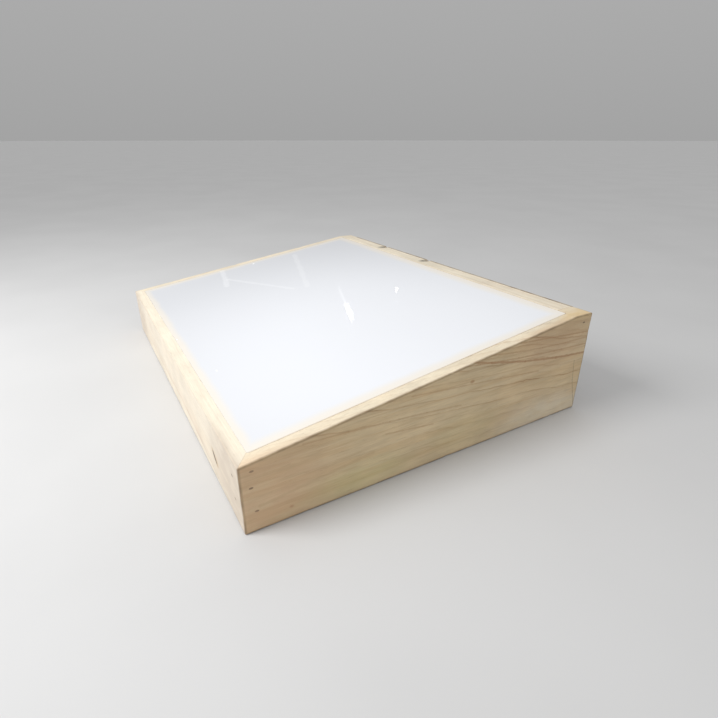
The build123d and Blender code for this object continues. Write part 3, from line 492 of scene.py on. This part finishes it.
def wood(
    name, along, pith, spacing, seed, tone=(1, 1, 1), lean=0.0, lines=(0, 0.1, 0.8, 1.0), vivid=1.0,
    marks=(), strokes=(),
):
    """Planed whitewood with a clear finish.

    pith is the tree's centre in the board's Z and thickness, and lean the grain's rise along the board.
    lines says how strongly the rings show between two distances above the pith, and vivid how much the
    colour varies.
    """
    g = Graph(name)
    x, y, z = g.split(g.place)
    u, v, w = (x, z, y) if along == "x" else (y, z, x)
    q = g.join(u, v, w)

    def field(scale, detail=2.0, rough=0.5, extra=0.0):
        return g.noise(q, scale, detail, rough, seed + extra)

    def centred(value, amount):
        return g.times(g.math("SUBTRACT", value, 0.5), amount)

    bend = g.add(
        centred(field((3.2, 9, 9), 1), 0.040), centred(field((17, 34, 34), 1.5, extra=1), 0.0095),
        centred(field((75, 120, 120), 2, extra=2), 0.0034),
    )
    across = g.add(v, bend, g.times(u, -lean), -pith[0])
    through = g.add(w, -pith[1])
    radius = g.vector("LENGTH", g.join(across, through, 0.0))
    uneven = g.noise(g.join(radius, 0.0, 0.0), 85, 1, seed=seed + 3)
    rings = g.add(g.math("DIVIDE", radius, spacing), g.times(uneven, 1.6))
    share = g.math("FRACT", rings)
    late = g.curve(share, [(0, 0), (0.50, 0.03), (0.76, 0.24), (0.90, 1), (0.985, 0.05)])
    one_ring = g.fit(g.random(g.math("FLOOR", rings)), 0.05, 0.95, 0.15, 1.0)
    mottle = g.fit(field((30, 100, 100), 3, 0.65, extra=14), 0.30, 0.70, 1 - 0.06 * vivid, 1 + 0.04 * vivid)
    thin_streaks = field((13, 400, 400), 3, 0.65, extra=15)
    fading = g.times(
        g.fit(field((7, 26, 26), 2, extra=4), 0.34, 0.66, 0.25, 1.1),
        g.fit(field((38, 90, 90), 2, extra=13), 0.30, 0.60, 0.35, 1.15),
    )
    line = g.times(late, one_ring, fading, g.fit(across, *lines))

    streaks = field((6, 130, 130), 3, 0.6, extra=5)
    fibres = field((42, 1500, 1500), 3, 0.7, extra=6)
    blotches = field((9, 20, 20), 3, 0.55, extra=7)
    pores = g.fit(field((130, 2300, 2300), 1, extra=8), 0.67, 0.76)

    colour = g.mix(g.fit(streaks, 0.35, 0.68, 0.0, 0.62 * vivid), PALE, WARM)
    colour = g.mix(g.fit(blotches, 0.52, 0.72, 0.0, 0.20), colour, REDDISH)
    colour = g.mix(g.fit(thin_streaks, 0.50, 0.72, 0.0, 0.26 * vivid), colour, WARM_DARK)
    # Painted light: faces that look up are mixed towards a pale tone and show fainter rings.
    up = g.split(g.normal)[2]
    lit_top = g.fit(up, 0.6, 0.95)
    colour = g.mix(g.times(lit_top, 0.55), colour, SANDED_AND_LIT)
    line_share = g.times(line, g.fit(up, 0.6, 0.95, 1.0, 0.45))
    colour = g.mix(g.math("MULTIPLY", line_share, 0.95, clamp=True), colour, LATE)
    figure = g.fit(field((34, 11, 11), 2, extra=12), 0.3, 0.7, 0.95, 1.03)
    figure = g.times(figure, mottle)
    colour = g.mix(1.0, colour, g.join(figure, figure, figure), "MULTIPLY")
    # Painted shade and light: each board's tone, partly its own colour, darkens or pales its faces but not
    # its tops.
    colour = g.mix(g.fit(lit_top, 0, 1, 1.0, 0.25), colour, tone, "MULTIPLY")
    shade = g.fit(fibres, 0.3, 0.7, 0.90, 1.05, smooth=False)
    colour = g.mix(1.0, colour, g.join(shade, shade, shade), "MULTIPLY")
    colour = g.mix(g.times(pores, 0.25), colour, LATE)
    for centre, radii, tint, strength in marks:
        ragged = g.fit(field((60, 150, 150), 2, extra=10), 0.3, 0.6, 0.55, 1.0)
        colour = g.mix(g.times(g.spot(centre, radii), strength, ragged), colour, tint)
    for start, end, width, tint, strength in strokes:
        colour = g.mix(g.times(g.stroke(start, end, width), strength), colour, tint)

    facing = g.math("ABSOLUTE", g.split(g.normal)[0 if along == "x" else 1])
    end_grain = g.fit(facing, 0.6, 0.9)
    speckle = g.fit(g.noise(q, 1300, 3, 0.7, seed), 0.35, 0.65, 0.80, 1.03)
    end_colour = g.mix(g.times(late, 0.7), END_GRAIN, LATE)
    end_colour = g.mix(1.0, end_colour, g.join(speckle, speckle, speckle), "MULTIPLY")
    colour = g.mix(g.times(end_grain, 0.85), colour, end_colour)

    # Grime and painted shade along the outer arrises: the bottom edges, the upright corners and the top
    # edges.
    lower, upper = arris_share(g, GRIME_AND_SHADE_REACH)
    patchy = g.fit(g.noise(g.place, 90, 3, seed=seed), 0.3, 0.65, 0.55, 1.0)
    colour = g.mix(g.times(lower, patchy, 0.9), colour, GRIME_AND_SHADE)
    colour = g.mix(g.times(upper, patchy, 0.85 if along == "y" else 0.15), colour, GRIME_AND_SHADE)
    g.set(Base_Color=colour, Specular_IOR_Level=0.45)
    g.set(Roughness=g.fit(g.add(fibres, g.times(line, 0.3)), 0.3, 0.9, 0.40, 0.62, smooth=False))
    height = g.add(g.times(fibres, 0.6), g.times(line, -0.5), g.times(pores, -0.7), g.times(streaks, 0.5))
    g.bump(height, 0.00016, 0.8)
    return g.material


def nail_marks(side):
    """The dark stain round each nail of one side board."""
    return [((side * HALF_WIDTH, y, z), (0.0060, 0.0017, 0.0009), STAIN_AND_SHADE, 3.4) for y, z in OPEN_NAILS]


def mitre_seam(side):
    """The fine dark seam on top of a front corner's mitre, as a stroke."""
    top = FRONT_HEIGHT + FRONT_T * math.tan(SLOPE)
    outer = (side * HALF_WIDTH, FRONT_Y, FRONT_HEIGHT)
    return (side * INNER_X, FRONT_INNER_Y, top), outer, 0.0007, GRIME_AND_SHADE, 0.22


# The clearest rings of the right side: Y and Z at the front end and at the rear end, how far the line
# sags between them, its width, tint and strength.
SIDE_RINGS = [
    ((0.005, 0.079), (0.150, 0.054), 0.004, 0.0026, LATE, 0.75),
    ((-0.010, 0.076), (0.150, 0.062), 0.002, 0.0016, LATE, 0.50),
    ((-0.030, 0.062), (0.095, 0.050), 0.000, 0.0016, LATE, 0.40),
    ((0.060, 0.080), (0.150, 0.073), 0.000, 0.0018, LATE, 0.55),
    ((0.040, 0.076), (0.150, 0.068), 0.002, 0.0016, LATE, 0.45),
    ((-0.110, 0.052), (0.015, 0.042), -0.001, 0.0018, LATE, 0.35),
    ((-0.050, 0.039), (-0.010, 0.034), 0.000, 0.0016, LATE, 0.35),
    ((-0.140, 0.018), (-0.060, 0.028), 0.000, 0.0034, WARM_DARK, 0.30),
]
STROKES_PER_BEND = 4


def side_strokes():
    """The clearest rings: one stroke where straight, several along a parabola where they sag."""
    for (y_1, z_1), (y_2, z_2), sag, width, tint, strength in SIDE_RINGS:
        count = STROKES_PER_BEND if sag else 1
        places = []
        for share in [i / count for i in range(count + 1)]:
            z = z_1 + (z_2 - z_1) * share - 4 * sag * share * (1 - share)
            places.append((HALF_WIDTH, y_1 + (y_2 - y_1) * share, z))
        for start, end in zip(places, places[1:]):
            yield start, end, width, tint, strength


# The right side's tone is darker and warmer: painted shade on that face as well as the board's own colour.
right_wood = wood(
    "right_side_wood", "y", (-0.022, 0.255), 0.0050, 14.0, (0.90, 0.835, 0.735), -0.13,
    (0.055, 0.105, 0.42, 1.35), 1.3,
    marks=nail_marks(1) + [
        ((HALF_WIDTH, -0.120, 0.009), (0.003, 0.0022, 0.0017), RED_SPECK, 0.8),
        ((HALF_WIDTH, -0.155, 0.022), (0.01, 0.095, 0.055), REDDISH, 0.62),
        ((HALF_WIDTH, -0.068, 0.012), (0.01, 0.055, 0.018), GREENISH, 0.36),
        ((HALF_WIDTH, 0.020, 0.020), (0.01, 0.050, 0.020), GREENISH, 0.16),
        ((HALF_WIDTH, 0.024, 0.059), (0.003, 0.0030, 0.0020), LATE, 0.8),
        ((HALF_WIDTH, 0.110, 0.070), (0.01, 0.060, 0.030), REDDISH, 0.38),
        ((HALF_WIDTH, 0.125, 0.084), (0.01, 0.085, 0.024), WARM_DARK, 0.45),
        ((HALF_WIDTH, 0.110, 0.006), (0.01, 0.075, 0.026), SANDED_AND_LIT, 0.45),
        ((0.197, 0.146, 0.090), (0.018, 0.045, 0.006), GOLDEN, 0.8),
    ],
    strokes=[
        mitre_seam(1), *side_strokes(),
        ((HALF_WIDTH, 0.139, 0.049), (HALF_WIDTH, 0.142, 0.029), 0.0008, GRIME_AND_SHADE, 0.7),
        ((HALF_WIDTH, 0.142, 0.029), (HALF_WIDTH, 0.150, 0.003), 0.0008, GRIME_AND_SHADE, 0.7),
    ],
)
left_wood = wood(
    "left_side_wood", "y", (-0.010, -0.255), 0.0048, 37.0, (0.84, 0.82, 0.82), 0.06,
    marks=nail_marks(-1), strokes=[mitre_seam(-1)],
)
# The front's tone is paler and cooler: painted light on that face.
front_wood = wood(
    "front_wood", "x", (0.030, -0.095), 0.0052, 23.0, (1.00, 1.05, 1.22), lines=(0, 0.1, 0.6, 0.7), vivid=0.5,
    marks=[
        # Painted shade over the right and left ends of the front face.
        ((0.1900, FRONT_Y, 0.0300), (0.0750, 0.006, 0.0700), FRONT_SHADE, 0.95),
        ((-0.2000, FRONT_Y, 0.0200), (0.0900, 0.006, 0.0600), FRONT_SHADE, 0.85),
        ((0.186, FRONT_Y, 0.036), (0.0024, 0.002, 0.0013), GRIME_AND_SHADE, 1.0),
        ((0.187, FRONT_Y, 0.019), (0.0022, 0.002, 0.0012), GRIME_AND_SHADE, 0.8),
        ((-0.155, FRONT_Y, 0.026), (0.0050, 0.002, 0.0030), REDDISH, 0.5),
    ],
    strokes=[
        mitre_seam(-1), mitre_seam(1),
        ((0.138, FRONT_Y, 0.0245), (0.146, FRONT_Y, 0.0185), 0.0085, WARM_DARK, 0.75),
        ((0.139, FRONT_Y, 0.024), (0.141, FRONT_Y, 0.022), 0.0030, KNOT, 1.0),
        ((0.1405, FRONT_Y, 0.022), (0.143, FRONT_Y, 0.020), 0.0048, KNOT, 1.0),
        ((0.143, FRONT_Y, 0.020), (0.145, FRONT_Y, 0.0185), 0.0026, KNOT, 1.0),
    ],
)
rear_wood = wood(
    "rear_wood", "x", (0.045, 0.200), 0.0050, 51.0, (0.97, 1.0, 1.08),
    marks=[
        # Painted shade: dark in the two nicks of the rear board's top.
        ((x, REAR_Y - 0.006, REAR_HEIGHT - NICK_DEPTH), (0.0075, 0.011, 0.005), STAIN_AND_SHADE, 0.95)
        for x in NICKS_X
    ],
)
cleat_wood = wood("cleat_wood", "x", (0.100, 0.180), 0.0040, 67.0)

# ---------------------------------------------------------------- boards

SIDE_OUTLINE = [
    (FRONT_Y, 0), (REAR_Y, 0), (REAR_Y, REAR_HEIGHT), (REAR_INNER_Y, REAR_HEIGHT), (FRONT_Y, FRONT_HEIGHT),
]
FRONT_OUTLINE = [
    (FRONT_Y, 0), (FRONT_INNER_Y, 0), (FRONT_INNER_Y, FRONT_HEIGHT + FRONT_T * math.tan(SLOPE)),
    (FRONT_Y, FRONT_HEIGHT),
]
REAR_OUTLINE = [(REAR_INNER_Y, 0), (COVER_Y, 0), (COVER_Y, REAR_HEIGHT), (REAR_INNER_Y, REAR_HEIGHT)]


def place_board(obj, node, material):
    """Give a board its wood and let it stand for its CAD node."""
    obj.data.materials.clear()
    obj.data.materials.append(material)
    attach(obj, "box")
    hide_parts(node)


for side, side_name, material in ((-1, "left", left_wood), (1, "right", right_wood)):
    x_low, x_high = sorted((side * INNER_X, side * HALF_WIDTH))
    details = [beyond_mitre(side, True)] + [nail_pit(side, y, z) for y, z in OPEN_NAILS]
    side_board = board(
        f"{side_name}_side_wood", SIDE_OUTLINE, x_low, x_high, [panel_space(), base_space()], details, "y"
    )
    place_board(side_board, f"{side_name}_side_board", material)

front_board = board(
    "front_wood", FRONT_OUTLINE, -HALF_WIDTH, HALF_WIDTH, [panel_space(), base_space()],
    [beyond_mitre(-1, False), beyond_mitre(1, False)], "x",
)
place_board(front_board, "front_board", front_wood)

window = to_object(
    block((WINDOW_X[0], REAR_INNER_Y - EASE, WINDOW_Z[0]), (WINDOW_X[1], REAR_Y, WINDOW_Z[1])), "window"
)
rear_board = board(
    "rear_wood", REAR_OUTLINE, -INNER_X, INNER_X, [base_space(), window], [nick(x) for x in NICKS_X], "x"
)
place_board(rear_board, "rear_board", rear_wood)

# ---------------------------------------------------------------- diffuser

PANEL_GAP = 0.00018
PANEL_X = HALF_WIDTH - RIM_SIDE - PANEL_GAP
PANEL_START = RIM_FRONT + PANEL_GAP / 4
PANEL_END = SLOPE_LENGTH - PANEL_T * math.tan(SLOPE) - PANEL_GAP
PANEL_EASE = 0.0002
PANEL_STEP = 0.006
WAVE_FADE = 0.018
WAVE_DEPTH = 0.00028


def diffuser_mesh():
    """A cut acrylic sheet with scraped edges, very slightly wavy on top."""
    bm = block((-PANEL_X, PANEL_START, -PANEL_T), (PANEL_X, PANEL_END, 0), upright_r=PANEL_CORNER)
    rims = [e for e in bm.edges if abs(e.verts[0].co.z - e.verts[1].co.z) < TOUCHING]
    bmesh.ops.bevel(bm, geom=rims, offset=PANEL_EASE, segments=3, profile=0.5, affect="EDGES")
    obj = to_object(bm, "diffuser_sheet")
    slice_mesh(obj, [
        (Vector((1, 0, 0)), -PANEL_X, PANEL_X, PANEL_STEP),
        (Vector((0, 1, 0)), PANEL_START, PANEL_END, PANEL_STEP),
    ])
    for vertex in obj.data.vertices:
        edge = min(PANEL_X - abs(vertex.co.x), vertex.co.y - PANEL_START, PANEL_END - vertex.co.y)
        if vertex.co.z > -TOUCHING:
            free = min(1.0, max(0.0, edge / WAVE_FADE))
            wave = 0.55 + 0.45 * noise.noise(vertex.co * 9) + 0.06 * noise.noise(vertex.co * 40)
            vertex.co.z -= WAVE_DEPTH * free * wave
    obj.data.transform(SLOPE_FRAME)
    finish_mesh(obj)
    return obj


def sheet_place(x, along):
    """A place on the sheet's top, from X and the distance up the slope."""
    return SLOPE_START + UP_SLOPE * along + Vector((x, 0, 0))


# Faint white streaks and specks, painted reflections: two places on the sheet as X and distance up the slope,
# width and strength.
PAINTED_REFLECTIONS = [
    ((-0.185, 0.105), (-0.120, 0.092), 0.0090, 0.24),
    ((-0.145, 0.100), (-0.050, 0.145), 0.0070, 0.20),
    ((-0.170, 0.200), (-0.045, 0.160), 0.0090, 0.18),
    ((-0.181, 0.146), (-0.179, 0.145), 0.0030, 0.9),
    ((-0.012, 0.011), (-0.011, 0.011), 0.0018, 1.0),
    ((0.074, 0.024), (0.076, 0.024), 0.0022, 0.5),
]
SHEET_TONES = ((0.775, 0.79, 0.825), (0.735, 0.755, 0.80))
OVER_LEDGE = (0.84, 0.77, 0.655)
# Brown of the painted gap shade at the sheet's side and rear edges.
SHEET_GAP_SHADE = (0.72, 0.62, 0.49)
# White of the painted reflections on the sheet.
REFLECTION_WHITE = (0.97, 0.98, 1.0)


def opal(name):
    """Glossy opal acrylic, a little warm where the ledge shows through it, with painted light, shade and
    reflections.
    """
    g = Graph(name)
    away = g.vector("SUBTRACT", g.place, tuple(SLOPE_START))
    along = g.vector("DOT_PRODUCT", away, tuple(UP_SLOPE))
    x = g.split(g.place)[0]
    beside = g.math("SUBTRACT", PANEL_X, g.math("ABSOLUTE", x))
    before = g.math("SUBTRACT", along, PANEL_START)
    behind = g.math("SUBTRACT", PANEL_END, along)
    ragged = g.times(g.math("SUBTRACT", g.noise(g.place, 30, 2), 0.5), 0.004)
    bands = [
        g.fit(g.add(value, ragged), width * 1.4, width * 0.3)
        for value, width in ((beside, 0.0085), (before, 0.0060), (behind, 0.0095))
    ]
    band = g.math("MAXIMUM", g.math("MAXIMUM", *bands[:2]), bands[2])
    # Painted shade of the gap along the sides and the rear edge of the sheet.
    close = g.math("MINIMUM", beside, behind)
    gap_shade = g.fit(close, 0.0016, 0.0)
    cloud = g.fit(g.noise(g.place, 7, 3), 0.35, 0.65, 0.0, 0.10)
    colour = g.mix(cloud, *SHEET_TONES)
    # Painted light: brightest round one spot of the sheet, darker towards its far corner and sides.
    off_centre = g.vector("MULTIPLY", g.join(g.add(x, -0.12), g.add(along, -0.17), 0.0), (1, 1.3, 0))
    painted_falloff = g.fit(g.vector("LENGTH", off_centre), 0.08, 0.34, 1.05, 0.86)
    colour = g.mix(1.0, colour, g.join(painted_falloff, painted_falloff, painted_falloff), "MULTIPLY")
    colour = g.mix(g.times(band, 0.70), colour, OVER_LEDGE)
    colour = g.mix(g.times(gap_shade, 0.55), colour, SHEET_GAP_SHADE)
    # Painted reflections: faint white streaks and specks on the sheet.
    for (x_1, along_1), (x_2, along_2), width, strength in PAINTED_REFLECTIONS:
        start, end = sheet_place(x_1, along_1), sheet_place(x_2, along_2)
        colour = g.mix(g.times(g.stroke(start, end, width), strength), colour, REFLECTION_WHITE)
    fine = g.noise(g.place, (900, 60, 60), 3, 0.6, seed=4)
    cross = g.noise(g.place, (50, 1100, 300), 3, 0.6, seed=8)
    scratches = g.math("MAXIMUM", g.fit(fine, 0.66, 0.74), g.fit(cross, 0.67, 0.75))
    rubbed = g.noise(g.place, 14, 3, 0.6, seed=2)
    g.set(Base_Color=colour, IOR=1.49)
    g.set(Roughness=g.add(g.fit(rubbed, 0.3, 0.7, 0.022, 0.050), g.times(scratches, 0.12)))
    unevenness = g.times(g.noise(g.place, 120, 2), 0.8)
    g.bump(g.add(g.times(scratches, -1.0), unevenness), 0.00002, 0.5)
    return g.material


diffuser = diffuser_mesh()
diffuser.data.materials.clear()
diffuser.data.materials.append(opal("opal_sheet"))
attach(diffuser, "diffuser")
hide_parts("diffuser_panel")

# ---------------------------------------------------------------- finishes of the carried-over nodes


def paint(node_name, material):
    """Give a CAD node one material all over."""
    slots = NODES[node_name].material_slots
    for slot in slots:
        slot.link = "OBJECT"
        slot.material = material
    if not slots:
        NODES[node_name].data.materials.append(material)


def finish(name, colour, second, scale, rough, metal=0.0, bump=0.00003, grit=700):
    """A worked surface: two tones mixed by stretched noise, uneven gloss and a fine texture."""
    g = Graph(name)
    broad = g.noise(g.place, scale, 3, 0.6, seed=len(name))
    dust = g.fit(g.noise(g.place, 60, 3, 0.6, seed=5), 0.45, 0.75, 0.0, 0.35)
    fine = g.noise(g.place, grit, 3, 0.65, seed=3)
    mixed = g.mix(g.fit(broad, 0.3, 0.7), colour, second)
    tone = g.fit(fine, 0.3, 0.7, 0.93, 1.04)
    mixed = g.mix(1.0, mixed, g.join(tone, tone, tone), "MULTIPLY")
    g.set(Base_Color=mixed, Metallic=metal)
    g.set(Roughness=g.add(g.fit(broad, 0.3, 0.7, *rough), g.times(dust, 0.25)))
    g.bump(g.add(g.times(broad, 0.5), fine), bump, 0.6)
    return g.material


by_slot = {}
for subpart in frame["record"]["subparts"]:
    by_slot.setdefault(subpart["material_slot"], []).append(subpart["node"])

FINISHES = {
    "nail_steel": finish("nail_steel_finish", (0.10, 0.075, 0.06), (0.20, 0.11, 0.06), 900, (0.45, 0.7), 0.6),
    "zinc_steel": finish("zinc_steel_finish", (0.66, 0.66, 0.63), (0.78, 0.76, 0.66), 500, (0.22, 0.38), 1.0),
    "tinned_copper": finish("tinned_finish", (0.70, 0.70, 0.69), (0.80, 0.79, 0.76), 600, (0.3, 0.45), 1.0),
    "tray_white": finish("tray_finish", (0.86, 0.86, 0.84), (0.90, 0.90, 0.88), 25, (0.22, 0.34), grit=450),
    "tube_glass": finish(
        "tube_finish", (0.90, 0.91, 0.92), (0.93, 0.935, 0.94), (8, 90, 90), (0.10, 0.16), bump=0.00001
    ),
    "cap_aluminium": finish(
        "cap_finish", (0.70, 0.71, 0.72), (0.80, 0.81, 0.82), (1200, 60, 60), (0.28, 0.42), 1.0
    ),
    "brass": finish(
        "brass_finish", (0.72, 0.52, 0.22), (0.80, 0.62, 0.30), (90, 900, 900), (0.22, 0.36), 1.0
    ),
    "holder_white": finish(
        "holder_finish", (0.80, 0.80, 0.76), (0.84, 0.83, 0.77), 70, (0.38, 0.5), grit=900
    ),
    "rotor_plastic": finish(
        "rotor_finish", (0.66, 0.66, 0.61), (0.72, 0.71, 0.65), 90, (0.36, 0.5), grit=900
    ),
    "ballast_case": finish(
        "ballast_finish", (0.70, 0.71, 0.70), (0.76, 0.77, 0.75), 40, (0.32, 0.45), grit=500
    ),
    "black_plastic": finish(
        "black_plastic_finish", (0.022, 0.022, 0.023), (0.034, 0.034, 0.035), 80, (0.42, 0.58)
    ),
    "rocker_plastic": finish("rocker_finish", (0.016, 0.016, 0.017), (0.026, 0.026, 0.027), 120, (0.18, 0.3)),
    "sleeve_plastic": finish("sleeve_finish", (0.52, 0.035, 0.03), (0.62, 0.06, 0.045), 150, (0.35, 0.5)),
    "lead_white": finish("lead_white_finish", (0.74, 0.74, 0.71), (0.80, 0.80, 0.76), 60, (0.35, 0.48)),
    "lead_brown": finish("lead_brown_finish", (0.13, 0.045, 0.018), (0.17, 0.065, 0.028), 60, (0.33, 0.46)),
    "lead_blue": finish("lead_blue_finish", (0.02, 0.085, 0.36), (0.03, 0.12, 0.45), 60, (0.33, 0.46)),
}


PLIES = 5


def plywood():
    """Sanded birch ply: a grained face and dark and light layers at the edges."""
    g = Graph("plywood_finish")
    z = g.split(g.place)[2]
    grain = g.noise(g.place, (7, 90, 90), 3, 0.6, seed=2)
    fibres = g.noise(g.place, (45, 1200, 1200), 3, 0.7, seed=6)
    face = g.mix(g.fit(grain, 0.35, 0.7), (0.70, 0.52, 0.32), (0.60, 0.41, 0.225))
    layer = g.math("FRACT", g.math("DIVIDE", z, 2 * BASE_T / PLIES))
    layers = g.mix(g.fit(layer, 0.45, 0.55), (0.62, 0.44, 0.25), (0.36, 0.22, 0.115))
    upright = g.math("ABSOLUTE", g.split(g.normal)[2])
    colour = g.mix(g.fit(upright, 0.7, 0.3), face, layers)
    tone = g.fit(fibres, 0.3, 0.7, 0.88, 1.05)
    colour = g.mix(1.0, colour, g.join(tone, tone, tone), "MULTIPLY")
    g.set(Base_Color=colour, Roughness=g.fit(fibres, 0.3, 0.7, 0.55, 0.72))
    g.bump(g.add(fibres, g.times(grain, 0.5)), 0.00012, 0.6)
    return g.material


def hardboard():
    """Smooth brown fibreboard, flecked, with a paler worn top edge."""
    g = Graph("hardboard_finish")
    z = g.split(g.place)[2]
    flecks = g.noise(g.place, (420, 420, 700), 4, 0.7, seed=1)
    broad = g.noise(g.place, 12, 3, 0.6, seed=4)
    colour = g.mix(g.fit(flecks, 0.32, 0.68), (0.085, 0.042, 0.020), (0.235, 0.130, 0.062))
    colour = g.mix(g.fit(broad, 0.35, 0.7, 0.0, 0.45), colour, (0.20, 0.115, 0.058))
    edge = g.fit(z, REAR_HEIGHT - 0.0025, REAR_HEIGHT - 0.0004)
    rubbed = g.fit(g.noise(g.place, 140, 3, seed=7), 0.35, 0.6, 0.35, 1.0)
    colour = g.mix(g.times(edge, rubbed, 0.9), colour, (0.47, 0.40, 0.30))
    g.set(Base_Color=colour, Roughness=g.fit(flecks, 0.3, 0.7, 0.36, 0.56))
    g.bump(g.add(flecks, broad), 0.00006, 0.6)
    return g.material


def earth_sheath():
    """Green sheath with yellow stripes along the lead."""
    g = Graph("earth_sheath_finish")
    x, _, z = g.split(g.place)
    stripes = g.math("SINE", g.times(g.add(x, g.times(z, 0.6)), 2400))
    fine = g.noise(g.place, 500, 2)
    colour = g.mix(g.fit(stripes, -0.1, 0.1), (0.06, 0.27, 0.05), (0.70, 0.56, 0.04))
    g.set(Base_Color=colour, Roughness=g.fit(fine, 0.3, 0.7, 0.33, 0.46))
    g.bump(fine, 0.00003, 0.5)
    return g.material


FINISHES["plywood"] = plywood()
FINISHES["hardboard"] = hardboard()
FINISHES["lead_earth"] = earth_sheath()
for slot_name, material in FINISHES.items():
    for node_name in by_slot[slot_name]:
        paint(node_name, material)
paint("rear_cleat", cleat_wood)

# ---------------------------------------------------------------- camera

AZIMUTH = math.radians(59.50)
ELEVATION = math.radians(24.81)
CAMERA_PLACE = (0.42322, -0.20263, 0.21908)
FOCAL_LENGTH = 24.05
FULL_FRAME = 36

camera_data = bpy.data.cameras.new("camera")
camera_data.lens = FOCAL_LENGTH
camera_data.sensor_width = FULL_FRAME
camera_data.clip_start = 0.01
camera = bpy.data.objects.new("camera", camera_data)
camera.location = CAMERA_PLACE
camera.rotation_euler = (math.pi / 2 - ELEVATION, 0, AZIMUTH)
bpy.context.scene.collection.objects.link(camera)
bpy.context.scene.camera = camera

# ---------------------------------------------------------------- floor and light

FLOOR_R = 40.0
KEY_PLACE = (-0.04, -0.80, 0.71)
KEY_TARGET = (0.0, -0.05, 0.05)
KEY_SIZE = 0.45
KEY_WATTS = 8.0
GLINT_DISTANCE = 1.2

bm = bmesh.new()
bmesh.ops.create_circle(bm, cap_ends=True, segments=96, radius=FLOOR_R)
floor = to_object(bm, "floor")
g = Graph("floor_finish")
mottle = g.noise(g.place, 5, 3)
g.set(Base_Color=g.mix(g.fit(mottle, 0.3, 0.7), (0.61, 0.61, 0.61), (0.635, 0.635, 0.635)))
g.set(Roughness=g.fit(mottle, 0.3, 0.7, 0.80, 0.90), Specular_IOR_Level=0.2)
g.bump(g.noise(g.place, 300, 2), 0.00004, 0.4)
floor.data.materials.append(g.material)

world = bpy.data.worlds.new("studio")
world.use_nodes = True
bpy.context.scene.world = world
tree = world.node_tree
direction = tree.nodes.new("ShaderNodeTexCoord")
height = tree.nodes.new("ShaderNodeSeparateXYZ")
dome = tree.nodes.new("ShaderNodeValToRGB")
tree.links.new(direction.outputs["Generated"], height.inputs[0])
tree.links.new(height.outputs["Z"], dome.inputs["Fac"])
tree.links.new(dome.outputs["Color"], tree.nodes["Background"].inputs["Color"])
DOME = [(0.0, (0.37, 0.37, 0.37)), (0.25, (0.42, 0.42, 0.42)), (1.0, (0.85, 0.85, 0.85))]
stops = dome.color_ramp.elements
stops.new(0.25)
for stop, (position, colour) in zip(stops, DOME):
    stop.position = position
    stop.color = (*colour, 1)


def area_light(name, location, target, width, height, watts):
    """A soft rectangular light that faces its target."""
    data = bpy.data.lights.new(name, "AREA")
    data.shape = "RECTANGLE"
    data.size = width
    data.size_y = height
    data.energy = watts
    light = bpy.data.objects.new(name, data)
    light.location = location
    light.rotation_euler = (Vector(target) - Vector(location)).to_track_quat("-Z", "Y").to_euler()
    bpy.context.scene.collection.objects.link(light)
    return light


def mirrored_place(x, along):
    """The place that the camera sees mirrored in one spot of the sheet."""
    spot = sheet_place(x, along)
    outward = (camera.location - spot).normalized()
    arriving = 2 * outward.dot(SLOPE_NORMAL) * SLOPE_NORMAL - outward
    return spot + arriving * GLINT_DISTANCE


def mirrored_light(name, start, end, width, watts):
    """A narrow light that the sheet mirrors to the camera between two spots."""
    near, far = mirrored_place(*start), mirrored_place(*end)
    light = area_light(name, (near + far) / 2, (0, 0, 0), (far - near).length, width, watts)
    across = (far - near).normalized()
    back = (near + far).normalized()
    back = (back - across * back.dot(across)).normalized()
    light.rotation_euler = Matrix((across, back.cross(across), back)).transposed().to_euler()


area_light("key", KEY_PLACE, KEY_TARGET, KEY_SIZE, KEY_SIZE, KEY_WATTS)
mirrored_light("glint_core", (0.0390, 0.1625), (0.0630, 0.1534), 0.012, 0.046)
mirrored_light("glint_tail", (-0.0130, 0.1820), (0.0390, 0.1625), 0.005, 0.0010)
mirrored_light("glint_dot", (0.0380, 0.2218), (0.0406, 0.2196), 0.0065, 0.0060)

bpy.context.scene.view_settings.view_transform = "Standard"
